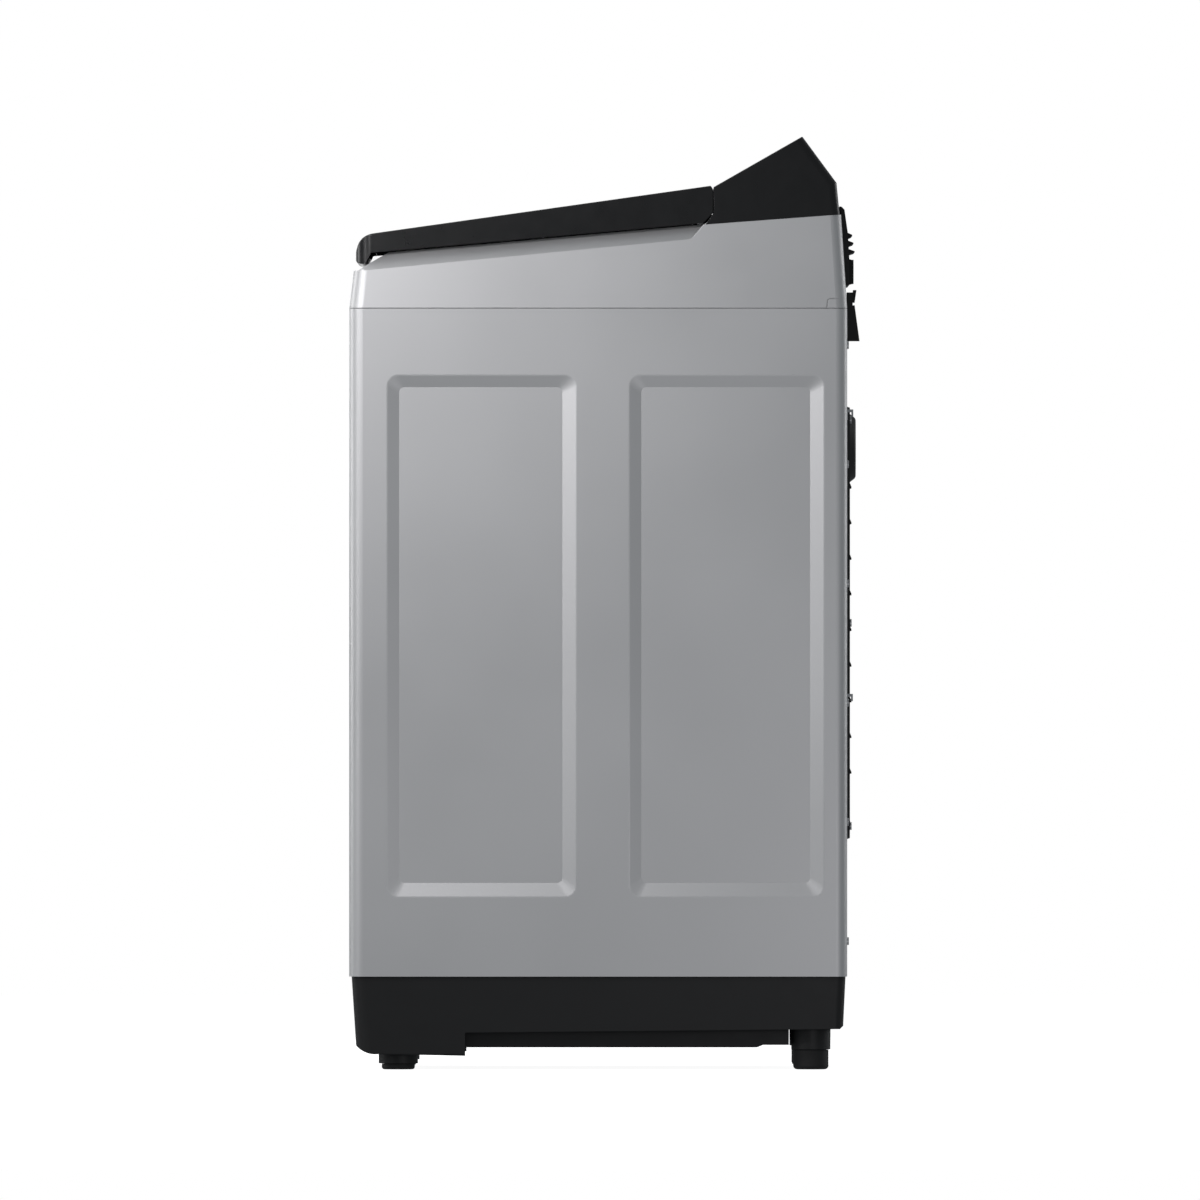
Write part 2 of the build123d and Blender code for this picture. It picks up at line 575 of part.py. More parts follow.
with BuildPart() as basket_base:
    tube(DRUM_BOTTOM, DRUM_BOTTOM + 3, DRUM_R + 1.0)
    tube(DRUM_BOTTOM + 3, DRUM_BOTTOM + 26, DRUM_R - 0.3, DRUM_R - 3.5)
    with BuildSketch(Plane.XZ.offset(-TUB_Y)):
        with BuildLine():
            Polyline((DRUM_R - 3, DRUM_BOTTOM + 3), (DRUM_R - 3, DRUM_BOTTOM + 26),
                     (172, DRUM_BOTTOM + 13), (172, DRUM_BOTTOM + 3), close=True)
        make_face()
    revolve(axis=Axis((0, TUB_Y, 0), (0, 0, 1)))
    tube(DRUM_BOTTOM + 3, DRUM_BOTTOM + 11, 40)
    tube(DRUM_BOTTOM - 1, DRUM_BOTTOM + 12, 8.6, mode=Mode.SUBTRACT)
    with Locations((0, TUB_Y, DRUM_BOTTOM)):
        with PolarLocations(110, 24):
            Box(50, 5, 20, mode=Mode.SUBTRACT)
save(basket_base, "basket_base")

RING_TOP = 780.0
with BuildPart() as balance_ring:
    with BuildSketch(Plane.XZ.offset(-TUB_Y)):
        with BuildLine():
            Polyline((DRUM_R + 5, RING_LOW), (DRUM_R + 5, RING_TOP), (195, RING_TOP), (186, RING_TOP - 9),
                     (186, RING_LOW + 12), (195, RING_LOW), close=True)
        make_face()
    revolve(axis=Axis((0, TUB_Y, 0), (0, 0, 1)))
    fillet(balance_ring.edges().group_by(Axis.Z)[-1], 3.0)
save(balance_ring, "balance_ring")

PULSATOR_R = 165.0
with BuildPart() as pulsator:
    with BuildSketch(Plane.XZ.offset(-TUB_Y)):
        with BuildLine():
            Polyline((0, 283), (40, 278), (PULSATOR_R, 276.5), (PULSATOR_R, 284))
            Spline((PULSATOR_R, 284), (120, 284.5), (60, 290), (24, 302), (0, 304))
            Line((0, 304), (0, 283))
        make_face()
    revolve(axis=Axis((0, TUB_Y, 0), (0, 0, 1)))
    with Locations((0, TUB_Y, 0)):
        for k in range(6):
            with Locations(Location((0, 0, 0), (0, 0, 60 * k))):
                with Locations((92, 0, 289)):
                    Box(128, 15, 18)
    tube(276, 306, 8.05, mode=Mode.SUBTRACT)
    tube(299, 310, 14, mode=Mode.SUBTRACT)
save(pulsator, "pulsator")

with BuildPart() as pulsator_screw:
    tube(300.2, 306, 11.5)
    tube(291, 301, 2.9)
    fillet(pulsator_screw.edges().group_by(Axis.Z)[-1], 2.0)
save(pulsator_screw, "pulsator_screw")

FILTER_Z = (410.0, 600.0)
with BuildPart() as filter_frame:
    tube(FILTER_Z[0], FILTER_Z[1], DRUM_R - 0.2, 197)
    block(-50, 50, 150, 260, FILTER_Z[0] - 1, FILTER_Z[1] + 1, mode=Mode.INTERSECT)
    block(-42, 42, 150, TUB_Y + 203, FILTER_Z[0] + 14, FILTER_Z[1] - 14, mode=Mode.SUBTRACT)
save(filter_frame, "filter_frame")

with BuildPart() as lint_filter:
    tube(FILTER_Z[0] + 15, FILTER_Z[1] - 15, 202.0, 193)
    block(-41, 41, 150, 260, FILTER_Z[0] + 15, FILTER_Z[1] - 15, mode=Mode.INTERSECT)
    tube(FILTER_Z[0] + 15, FILTER_Z[1] - 15, 203.5, 198.5, mode=Mode.SUBTRACT)
    with Locations((0, TUB_Y + 195, (FILTER_Z[0] + FILTER_Z[1]) / 2)):
        with GridLocations(26, 26, 1, 1):
            Box(20, 30, 30, mode=Mode.SUBTRACT)
save(lint_filter, "lint_filter")

# ---------------------------------------------------------------- top cover
BEVEL_LOW = 18.5          # the side bevel starts this far below the lid's underside line
BEVEL_RISE = 16.8
BEVEL_RUN = 14.5
BEVEL_X = 267.5           # where the bevel leaves the side wall
BEVEL_END = (94.6, 906.2)  # low end of the bevel's slanting rear edge
BEVEL_END_SLOPE = 0.868
BEVEL_END_R = 7.0
SEAM_H = 0.8              # shadow gap above the cabinet
SEAM_DEPTH = 1.0
POCKET_FLOOR = 864.0
POCKET_X = 230.0
POCKET_Y = (-212.0, 96.0)
OPENING_X = 190.0
OPENING_Y = (-198.0, 84.0)
OPENING_R = 118.0
COLLAR_LOW = 832.0
BAY_FLOOR = 838.0
BAY_Y = (112.0, 248.0)
DRAWER_Z = (866.0, 897.0)
DRAWER_X = 90.0


def cover_profile(drop):
    """Side outline of the top cover, with its upper surfaces lowered by drop."""
    return [(-300.0, CAB_TOP), (-300.0, 871.0 - drop), (-268.7, 871.0 - drop), (-260.5, 876.6 - drop),
            (-235.8, rim_top(-235.8) - drop), (108.0, rim_top(108.0) - drop),
            (109.5, console_joint(109.5) - drop), (300.0, console_joint(300.0) - drop), (300.0, CAB_TOP)]


def side_bevels(inset):
    """Slope the sides in under the lid. Each bevel ends at a slanting edge before the console."""
    scale_z = BEVEL_RISE / BEVEL_RUN
    for side in (-1, 1):
        faces = []
        for wall_x in (BEVEL_X + 4.5, BEVEL_X - BEVEL_RUN - 6.0):
            lift = (BEVEL_X - wall_x) * scale_z - BEVEL_LOW - inset
            # where the low edge meets the slanting end, which moves back with the inset
            end_y = BEVEL_END[0] + 1.3 * inset - BEVEL_END[1] * BEVEL_END_SLOPE
            low_y = (end_y + (lid_under(0.0) + lift) * BEVEL_END_SLOPE) / (1 - UNDER_SLOPE * BEVEL_END_SLOPE)
            with BuildSketch(Plane.YZ.offset(side * (wall_x - inset))) as face:
                with BuildLine():
                    Polyline((-310.0, lid_under(-310.0) + lift), (low_y, lid_under(low_y) + lift),
                             (end_y + 1000.0 * BEVEL_END_SLOPE, 1000.0), (-310.0, 1000.0), close=True)
                make_face()
                fillet(face.vertices().sort_by_distance((side * wall_x, low_y, lid_under(low_y) + lift))[0],
                       BEVEL_END_R)
            faces.append(face.sketch)
        loft(faces, mode=Mode.SUBTRACT)


def opening_outline(z, grow):
    """Sketch the wash opening, grown outwards all round."""
    y0, y1 = OPENING_Y
    with BuildSketch(Plane.XY.offset(z)) as outline:
        with Locations((0, (y0 + y1) / 2)):
            RectangleRounded(2 * (OPENING_X + grow), y1 - y0 + 2 * grow, OPENING_R + grow)
    return outline.sketch


def pocket_outline(z, grow):
    """Sketch the pocket round the wash opening, grown outwards all round."""
    y0, y1 = POCKET_Y
    with BuildSketch(Plane.XY.offset(z)) as outline:
        with Locations((0, (y0 + y1) / 2)):
            RectangleRounded(2 * (POCKET_X + grow), y1 - y0 + 2 * grow, 46 + grow)
    return outline.sketch


with BuildPart() as cover_room:
    # the hollow under the cover's skin, with the pocket and the control bay's floor left in
    loft([plan(CAB_TOP - 1, HALF_W - WALL, CAB_FRONT + WALL, CAB_REAR - WALL, FRONT_R - WALL, REAR_R - WALL),
          plan(935, 261, -263.5, 254.6, FRONT_R - WALL, REAR_R - WALL)])
    side_prism(cover_profile(WALL), -300, 300, mode=Mode.INTERSECT)
    side_bevels(WALL)
    extrude(pocket_outline(POCKET_FLOOR - WALL, WALL), amount=100, mode=Mode.SUBTRACT)
    extrude(opening_outline(COLLAR_LOW, WALL), amount=100, mode=Mode.SUBTRACT)
    block(-300, 300, POCKET_Y[1] + 1, 300, BAY_FLOOR, BAY_FLOOR + WALL, mode=Mode.SUBTRACT)

HINGE_SLOT_X = 246.0
POST_R = 3.8
BUMPER_X = 242.0
BUMPER_Y = -190.0
PORTS_X = (-168.0, -118.0)
PORT_Z = 872.5
PORT_R = 13.2

seam_core = plan(CAB_TOP, HALF_W - SEAM_DEPTH, CAB_FRONT + SEAM_DEPTH, CAB_REAR - SEAM_DEPTH,
                 FRONT_R - SEAM_DEPTH, REAR_R - SEAM_DEPTH)
TAB_LINE = ((242.0, CAB_TOP - 1.0), (243.4, 839.0), (245.6, 840.6), (272.0, 840.6))

with BuildPart() as top_cover:
    loft([plan(CAB_TOP, HALF_W, CAB_FRONT, CAB_REAR, FRONT_R, REAR_R),
          plan(935, 264, -266.0, 257.6, FRONT_R, REAR_R)])
    side_prism(cover_profile(0), -300, 300, mode=Mode.INTERSECT)
    side_bevels(0)
    add(cover_room.part, mode=Mode.SUBTRACT)
    extrude(pocket_outline(POCKET_FLOOR, 0), amount=100, taper=-3, mode=Mode.SUBTRACT)
    extrude(opening_outline(COLLAR_LOW - 1, 0), amount=100, mode=Mode.SUBTRACT)
    # the bay under the console is open above and behind
    block(-250, 250, BAY_Y[0], BAY_Y[1], BAY_FLOOR + WALL, 1000, mode=Mode.SUBTRACT)
    block(-214, 214, 240, 290, 857.5, 922, mode=Mode.SUBTRACT)
    block(-DRAWER_X - 2, DRAWER_X + 2, 88, 104, DRAWER_Z[0] - 1.5, DRAWER_Z[1] + 1.5, mode=Mode.SUBTRACT)
    # the shadow gap above the cabinet, and the line of the tab at each lower rear corner
    with BuildSketch(Plane.XY.offset(CAB_TOP)):
        Rectangle(2 * HALF_W + 20, 600)
        add(seam_core, mode=Mode.SUBTRACT)
    extrude(amount=SEAM_H, mode=Mode.SUBTRACT)
    for side in (-1, 1):
        with BuildSketch(Plane.YZ.offset(side * HALF_W)):
            with BuildLine():
                Polyline(*TAB_LINE)
            trace(line_width=0.7)
        extrude(amount=-side * 1.3, mode=Mode.SUBTRACT)
    # hinge posts, rounded about the lid's axis
    for side in (-1, 1):
        post_x = side * HINGE_SLOT_X - 5
        side_prism([(HINGE_Y - 9.5, 919), (HINGE_Y - 3, HINGE_Z), (HINGE_Y + 3, HINGE_Z),
                    (HINGE_Y + 1.6, 930),
                    (HINGE_Y - 2.8, 922), (HINGE_Y - 2.8, 919)], post_x, post_x + 10)
        rod_along_x(post_x, post_x + 10, HINGE_Y, HINGE_Z, POST_R)
        rod_along_x(post_x - 1, post_x + 11, HINGE_Y, HINGE_Z, HINGE_PIN_R + 0.05, mode=Mode.SUBTRACT)
        tube(885, 960, 2.5, at=(side * BUMPER_X, BUMPER_Y), mode=Mode.SUBTRACT)
save(top_cover, "top_cover")

with BuildPart() as lid_bumpers:
    for side in (-1, 1):
        bumper_z = rim_top(BUMPER_Y)
        tube(bumper_z - 6, bumper_z, 2.5, at=(side * BUMPER_X, BUMPER_Y))
        with BuildSketch(Plane(origin=(side * BUMPER_X, BUMPER_Y, bumper_z), x_dir=(1, 0, 0),
                               z_dir=(0, -UNDER_SLOPE, 1))):
            Circle(6)
        extrude(amount=0.9)
save(lid_bumpers, "lid_bumpers")

with BuildPart() as lid_lock:
    lock_y = (-10.0, 50.0)
    side_prism([(lock_y[0], 868.0), (lock_y[1], 868.0), (lock_y[1], rim_top(lock_y[1]) - 3.2),
                (lock_y[0], rim_top(lock_y[0]) - 3.2)], 234.5, 250)
    block(238, 247, 12, 28, 850, 868)
save(lid_lock, "lid_lock")

# ---------------------------------------------------------------- console
CONSOLE_HALF = 264.0
CONSOLE_FRONT = 119.0
SLOPE_LOW = (CONSOLE_FRONT, 962.3)
SLOPE_HIGH = (212.5, 1015.7)
APEX = (215.5, 1017.5)
CONSOLE_REAR = (252.9, 966.8)
CONSOLE_FOOT = (255.3, 942.0)
slope_tan = (SLOPE_HIGH[1] - SLOPE_LOW[1]) / (SLOPE_HIGH[0] - SLOPE_LOW[0])
slope_angle = atan(slope_tan)
slope_mid = ((SLOPE_LOW[0] + SLOPE_HIGH[0]) / 2, (SLOPE_LOW[1] + SLOPE_HIGH[1]) / 2)
# x runs across the machine, y up the slope, z out of the slope
slope_plane = Plane(origin=(0, slope_mid[0], slope_mid[1]), x_dir=(1, 0, 0),
                    z_dir=(0, -sin(slope_angle), cos(slope_angle)))

PANEL_HALF = 226.0
PANEL_H = 84.0
PANEL_T = 2.4
PANEL_SINK = 3.0          # depth of the panel's seat, so the panel lies below the console's cheeks
CONSOLE_WALL = 3.0

with BuildPart() as console_room:
    front = CONSOLE_FRONT + CONSOLE_WALL
    side_prism([(front, 900), (front, SLOPE_LOW[1] - CONSOLE_WALL - PANEL_SINK + 0.5),
                (APEX[0] - 1, APEX[1] - 2 * CONSOLE_WALL - 1.0),
                (CONSOLE_REAR[0] - 3.6, CONSOLE_REAR[1] - 1.5),
                (CONSOLE_FOOT[0] - 3.2, CONSOLE_FOOT[1]), (CONSOLE_FOOT[0] - 3.2, 900)],
               -(CONSOLE_HALF - 3), CONSOLE_HALF - 3)

with BuildPart() as console_housing:
    side_prism([(109.7, console_joint(109.7)), (CONSOLE_FRONT, 934.5), SLOPE_LOW, SLOPE_HIGH, APEX,
                CONSOLE_REAR, CONSOLE_FOOT, (256.6, console_joint(256.6))], -CONSOLE_HALF, CONSOLE_HALF)
    rear_corners = console_housing.edges().filter_by(Axis.X, reverse=True)
    rear_corners = rear_corners.filter_by_position(Axis.Y, 230, 260)
    rear_corners = rear_corners.group_by(Axis.X)
    fillet(rear_corners[0] + rear_corners[-1], 9.0)
    ridge = console_housing.edges().filter_by(Axis.X).filter_by_position(Axis.Z, 1010, 1020)
    fillet(ridge.sort_by(Axis.Z)[-1], 1.5)
    add(console_room.part, mode=Mode.SUBTRACT)
    with BuildSketch(slope_plane):
        RectangleRounded(2 * PANEL_HALF + 0.6, PANEL_H + 0.6, 6)
    extrude(amount=-PANEL_SINK, mode=Mode.SUBTRACT)
    with BuildSketch(slope_plane):
        RectangleRounded(2 * PANEL_HALF - 12, PANEL_H - 12, 4)
    extrude(amount=-16, mode=Mode.SUBTRACT)
save(console_housing, "console_housing")

# buttons: name, centre across the slope, half width, half height, round
BUTTON_GAP = 0.35
BUTTON_PROUD = 1.0
BUTTON_FLANGE = 1.6
BUTTONS = (("power_button", -196.0, 11.0, 11.0), ("start_button", 190.0, 14.0, 14.0),
           ("course_button", -112.0, 17.0, 8.0), ("water_button", 84.0, 17.0, 8.0),
           ("spin_button", 132.0, 17.0, 8.0))
BUTTON_ROW = 0.0
DISPLAY_X = -14.0
DISPLAY_HALF = 52.0
DISPLAY_H = 40.0
PANEL_FACE = -(PANEL_SINK - PANEL_T)      # the panel's outer face, measured from the slope


def button_outline(offset_z, centre_x, half_w, half_h, grow):
    """Sketch one button's outline on a plane parallel to the slope."""
    with BuildSketch(slope_plane.offset(offset_z)) as outline:
        with Locations((centre_x, BUTTON_ROW)):
            if half_w == half_h:
                Circle(half_w + grow)
            else:
                RectangleRounded(2 * (half_w + grow), 2 * (half_h + grow), 5 + grow)
    return outline.sketch


with BuildPart() as control_panel:
    with BuildSketch(slope_plane.offset(-PANEL_SINK)):
        RectangleRounded(2 * PANEL_HALF, PANEL_H, 5.7)
        with Locations((DISPLAY_X, 0)):
            RectangleRounded(2 * DISPLAY_HALF, DISPLAY_H, 4, mode=Mode.SUBTRACT)
    extrude(amount=PANEL_T)
    chamfer(control_panel.faces().sort_by(Axis.Z)[-1].outer_wire().edges(), 0.5)
    for _, button_x, half_w, half_h in BUTTONS:
        extrude(button_outline(-PANEL_SINK - 1, button_x, half_w, half_h, BUTTON_GAP),
                amount=PANEL_T + 5, mode=Mode.SUBTRACT)
save(control_panel, "control_panel")

with BuildPart() as display_window:
    with BuildSketch(slope_plane.offset(-PANEL_SINK)):
        with Locations((DISPLAY_X, 0)):
            RectangleRounded(2 * DISPLAY_HALF, DISPLAY_H, 4)
    extrude(amount=PANEL_T)
save(display_window, "display_window")

BOARD_DEPTH = 17.0
for button_name, button_x, half_w, half_h in BUTTONS:
    with BuildPart() as button:
        extrude(button_outline(-PANEL_SINK, button_x, half_w, half_h, 0), amount=PANEL_T + BUTTON_PROUD)
        fillet(button.faces().sort_by(Axis((0, 0, 0), slope_plane.z_dir))[-1].edges(), 0.6)
        extrude(button_outline(-PANEL_SINK - BUTTON_FLANGE, button_x, half_w, half_h, 1.2),
                amount=BUTTON_FLANGE)
        extrude(button_outline(-BOARD_DEPTH + 4.2, button_x, 4.0, 4.0, 0), amount=10)
    save(button, button_name)

with BuildPart() as display_board:
    with BuildSketch(slope_plane.offset(-BOARD_DEPTH)):
        RectangleRounded(424, 62, 3)
    extrude(amount=1.6)
    with BuildSketch(slope_plane.offset(-BOARD_DEPTH + 1.6)):
        with Locations((DISPLAY_X, 0)):
            Rectangle(84, 26)
    extrude(amount=8)
    for _, button_x, _, _ in BUTTONS:
        with BuildSketch(slope_plane.offset(-BOARD_DEPTH + 1.6)):
            with Locations((button_x, BUTTON_ROW)):
                Rectangle(6, 6)
        extrude(amount=0.8)
    for post_x in (-206, -60, 40, 206):
        with BuildSketch(slope_plane.offset(-BOARD_DEPTH + 1.6)):
            with Locations((post_x, 27)):
                Circle(2.5)
        extrude(amount=BOARD_DEPTH - 1.6 - PANEL_SINK)
save(display_board, "display_board")

# ---------------------------------------------------------------- rear control cover and ports
with BuildPart() as rear_control_cover:
    side_prism([(rear_face(0.15, 934.0), 934.0), (256.4, 941.5), (258.6, 941.2), (261.8, 937.9),
                (265.4, 912.6), (267.0, 887.0), (267.0, 855.7), (rear_face(0.15, 855.7), 855.7)], -222, 222)
    side_prism([(250, 919), (rear_face(-1, 919), 919), (rear_face(4.4, 919), 919), (263.8, 890),
                (264.6, 862), (250, 862)], -210, 210, mode=Mode.SUBTRACT)
    for fin_z, fin_tip in ((910.0, 270.3), (901.4, 271.6), (892.2, 272.9)):
        side_prism([(263.0, fin_z + 4.0), (fin_tip, fin_z + 0.6), (fin_tip, fin_z - 0.8),
                    (264.6, fin_z - 3.4)], -52, 206)
    for slot_z in (917.0, 905.6, 896.8):
        for slot in range(6):
            slot_x = -30 + 42.8 * slot
            block(slot_x - 17, slot_x + 17, 255, 268.5 if slot_z > 910 else 266.8, slot_z - 1.6, slot_z + 0.2,
                  mode=Mode.SUBTRACT)
    for port_x in PORTS_X:
        rod_along_y(250, 290, port_x, PORT_Z, PORT_R + 1.2, mode=Mode.SUBTRACT)
    # shelf that stands out beside the ports
    side_prism([(266.5, 887.0), (272.5, 885.0), (272.5, 859.5), (266.5, 858.0)], -94, -86)
    side_prism([(266.5, 887.0), (272.5, 885.0), (272.5, 859.5), (266.5, 858.0)], -200, -192)
save(rear_control_cover, "rear_control_cover")

VALVE_REAR = 273.5
with BuildPart() as inlet_valves:
    for port_x in PORTS_X:
        block(port_x - 17, port_x + 17, 208, 250, 857, 890)
        rod_along_y(250, 254, port_x, PORT_Z, 19)
        rod_along_y(254, VALVE_REAR, port_x, PORT_Z, PORT_R)
        rod_along_y(246, VALVE_REAR + 1, port_x, PORT_Z, 9.5, mode=Mode.SUBTRACT)
        tube(889, 905, 12, at=(port_x, 226))
    block(PORTS_X[0] + 10, PORTS_X[1] - 10, 214, 228, 866, 880)
    rod_along_y(196, 210, PORTS_X[1], 874, 8.0)
    rod_along_y(195, 209, PORTS_X[1], 874, 5.0, mode=Mode.SUBTRACT)
save(inlet_valves, "inlet_valves")

with BuildPart() as fill_hose:
    with BuildLine() as fill_line:
        FilletPolyline((PORTS_X[1], 198, 874), (PORTS_X[1], 170, 874), (-98, 170, 874), radius=13)
    with BuildSketch(Plane(origin=fill_line.wires()[0] @ 0, z_dir=fill_line.wires()[0] % 0)):
        Circle(10.5)
        Circle(8.05, mode=Mode.SUBTRACT)
    sweep(path=fill_line.wires()[0])
save(fill_hose, "fill_hose")

HOUSING_Y = (99.3, 232.0)
with BuildPart() as dispenser_housing:
    block(-96, 96, HOUSING_Y[0], HOUSING_Y[1], BAY_FLOOR + WALL, 902.5)
    block(-DRAWER_X - 1.5, DRAWER_X + 1.5, 90, HOUSING_Y[1] - 3, DRAWER_Z[0] - 1.5, DRAWER_Z[1] + 2,
          mode=Mode.SUBTRACT)
    block(-92, 92, HOUSING_Y[0] + 4, HOUSING_Y[1] - 4, BAY_FLOOR, DRAWER_Z[0] - 4.5, mode=Mode.SUBTRACT)
    block(-60, 60, 108, 140, 850, 870, mode=Mode.SUBTRACT)
    rod_along_x(-104, -94, 170, 874, 8.0)
    rod_along_x(-105, -92, 170, 874, 5.0, mode=Mode.SUBTRACT)
save(dispenser_housing, "dispenser_housing")

with BuildPart() as detergent_drawer:
    block(-DRAWER_X, DRAWER_X, 93.0, 214, DRAWER_Z[0], DRAWER_Z[1])
    block(-DRAWER_X + 2, 10, 99, 212, DRAWER_Z[0] + 2, DRAWER_Z[1] + 5, mode=Mode.SUBTRACT)
    block(12, DRAWER_X - 2, 99, 212, DRAWER_Z[0] + 2, DRAWER_Z[1] + 5, mode=Mode.SUBTRACT)
    block(-30, 30, 92, 97, DRAWER_Z[0] - 1, DRAWER_Z[0] + 12, mode=Mode.SUBTRACT)
save(detergent_drawer, "detergent_drawer")

with BuildPart() as main_board:
    block(108, 236, 118, 230, BAY_FLOOR + WALL, 874)
    block(110, 234, 120, 228, BAY_FLOOR + WALL + 2, 880, mode=Mode.SUBTRACT)
    block(110, 234, 120, 228, 862, 864)
    for part_x, part_y, part_r, part_top in ((125, 140, 9, 884), (150, 140, 9, 884), (215, 205, 6, 878)):
        tube(864, part_top, part_r, at=(part_x, part_y))
    block(170, 200, 150, 200, 864, 886)
save(main_board, "main_board")

with BuildPart() as pressure_sensor:
    tube(BAY_FLOOR + WALL, 862, 19, at=(-218, 150))
    tube(862, 872, 10, at=(-218, 150))
    rod_along_y(160, 182, -218, 852, 3.5)
save(pressure_sensor, "pressure_sensor")

# ---------------------------------------------------------------- lid
LID_FRONT_R = 17.0
LID_EDGE_R = 1.2
LID_WALL = 3.0
GLASS_T = 4.0
HINGE_ROOM_R = 4.4
lid_angle = atan(LID_SLOPE)
lid_plane = Plane(origin=(0, -76.0, lid_top(-76.0)), x_dir=(1, 0, 0),
                  z_dir=(0, -sin(lid_angle), cos(lid_angle)))
GLASS_HALF = 240.0
GLASS_Y = (-162.0, 172.0)         # along the lid's slope
WINDOW_HALF = 208.0
WINDOW_Y = (-136.0, 140.0)
INNER_Y = (-228.0, 96.5)


def lid_profile():
    """Side outline of the lid: a full round nose at the front and a rear edge rounded about the hinge."""
    turn = HINGE_TURN_R
    # the top's rear end is where its line meets the round about the hinge
    height = (lid_top(HINGE_Y) - HINGE_Z) * cos(lid_angle)
    reach = (turn ** 2 - height ** 2) ** 0.5
    rise = atan(height / reach) + lid_angle
    top_rear = (HINGE_Y + turn * cos(rise), HINGE_Z + turn * sin(rise))
    with BuildSketch(Plane.YZ) as outline:
        with BuildLine():
            Line(top_rear, (-251.0, lid_top(-251.0)))
            Spline((-251.0, lid_top(-251.0)), (-266.5, 903.8), (-271.4, 889.0), (-264.3, 878.6),
                   tangents=((-cos(lid_angle), -sin(lid_angle)), (1, 0)))
            Polyline((-264.3, 878.6), (-260.5, 878.6), (-254.5, lid_under(-254.5)),
                     (107.7, lid_under(107.7)), (LID_REAR, 934.0), (LID_REAR, HINGE_Z))
            ThreePointArc((LID_REAR, HINGE_Z),
                          (HINGE_Y + turn * cos(rise / 2), HINGE_Z + turn * sin(rise / 2)), top_rear)
        make_face()
    return outline.sketch


with BuildPart() as lid_room:
    # the hollow between the lid's top and its inner frame
    slope_drop = LID_WALL / cos(lid_angle)
    side_prism([(-250.0, 870.0), (-250.0, lid_top(-250.0) - slope_drop), (97.0, lid_top(97.0) - slope_drop),
                (97.0, 870.0)], -(LID_HALF - LID_WALL), LID_HALF - LID_WALL)
    side_prism([(90.0, 870.0), (90.0, lid_top(90.0) - 2.5), (HINGE_Y - 0.8, HINGE_Z + HINGE_ROOM_R - 0.1),
                (HINGE_Y + HINGE_ROOM_R, HINGE_Z), (HINGE_Y + HINGE_ROOM_R, HINGE_Z - 1),
                (130.0, HINGE_Z - 1), (130.0, 870.0)], -(LID_HALF - 6.0), LID_HALF - 6.0)
    rod_along_x(-(LID_HALF - 6.0), LID_HALF - 6.0, HINGE_Y, HINGE_Z, HINGE_ROOM_R)
    # the front lip is hollow too
    side_prism([(-249.0, 892.0), (-249.0, lid_top(-249.0) - slope_drop), (-262.0, 903.0), (-267.6, 889.5),
                (-263.5, 883.0), (-259.5, 884.0)], -(LID_HALF - LID_FRONT_R), LID_HALF - LID_FRONT_R)
    # notches for the hinge posts
    for side in (-1, 1):
        block(side * HINGE_SLOT_X - 6.3, side * HINGE_SLOT_X + 6.3, HINGE_Y + 2, 130, 870, HINGE_Z + 4.4)

with BuildPart() as lid_frame:
    extrude(lid_profile(), amount=LID_HALF, both=True)
    extrude(plan(860, LID_HALF, -271.4, 130, LID_FRONT_R, 1), amount=120, mode=Mode.INTERSECT)
    lid_face = lid_frame.faces().filter_by(lambda face: face.normal_at().dot(lid_plane.z_dir) > 0.999)
    lid_edges = lid_face.sort_by(Axis.Z)[-1].edges()
    fillet(lid_edges.filter_by(lambda edge: abs(edge.center().X) > LID_HALF - 1), LID_EDGE_R)
    add(lid_room.part, mode=Mode.SUBTRACT)
    with BuildSketch(lid_plane):
        with Locations((0, (GLASS_Y[0] + GLASS_Y[1]) / 2)):
            RectangleRounded(2 * GLASS_HALF + 0.6, GLASS_Y[1] - GLASS_Y[0] + 0.6, 14)
    extrude(amount=-GLASS_T - 0.2, mode=Mode.SUBTRACT)
    # wall and ledge that carry the glass
    with BuildSketch(lid_plane.offset(-2)):
        with Locations((0, (GLASS_Y[0] + GLASS_Y[1]) / 2)):
            RectangleRounded(2 * GLASS_HALF + 12, GLASS_Y[1] - GLASS_Y[0] + 12, 19)
            RectangleRounded(2 * GLASS_HALF + 0.6, GLASS_Y[1] - GLASS_Y[0] + 0.6, 14, mode=Mode.SUBTRACT)
    extrude(amount=-5)
    with BuildSketch(lid_plane.offset(-GLASS_T - 0.2)):
        with Locations((0, (GLASS_Y[0] + GLASS_Y[1]) / 2)):
            RectangleRounded(2 * GLASS_HALF + 2, GLASS_Y[1] - GLASS_Y[0] + 2, 14.5)
            RectangleRounded(2 * GLASS_HALF - 12, GLASS_Y[1] - GLASS_Y[0] - 12, 10, mode=Mode.SUBTRACT)
    extrude(amount=-2.8)
    # bosses that hold the hinge pins
    for side in (-1, 1):
        rod_along_x(min(side * 252.5, side * 258), max(side * 252.5, side * 258), HINGE_Y, HINGE_Z, 4.8)
        rod_along_x(min(side * 251, side * 259.5), max(side * 251, side * 259.5), HINGE_Y, HINGE_Z,
                    HINGE_PIN_R, mode=Mode.SUBTRACT)
save(lid_frame, "lid_frame")

with BuildPart() as lid_glass:
    with BuildSketch(lid_plane):
        with Locations((0, (GLASS_Y[0] + GLASS_Y[1]) / 2)):
            RectangleRounded(2 * GLASS_HALF, GLASS_Y[1] - GLASS_Y[0], 13.7)
    extrude(amount=-GLASS_T)
    chamfer(lid_glass.faces().sort_by(Axis.Z)[-1].edges(), 0.6)
save(lid_glass, "lid_glass")

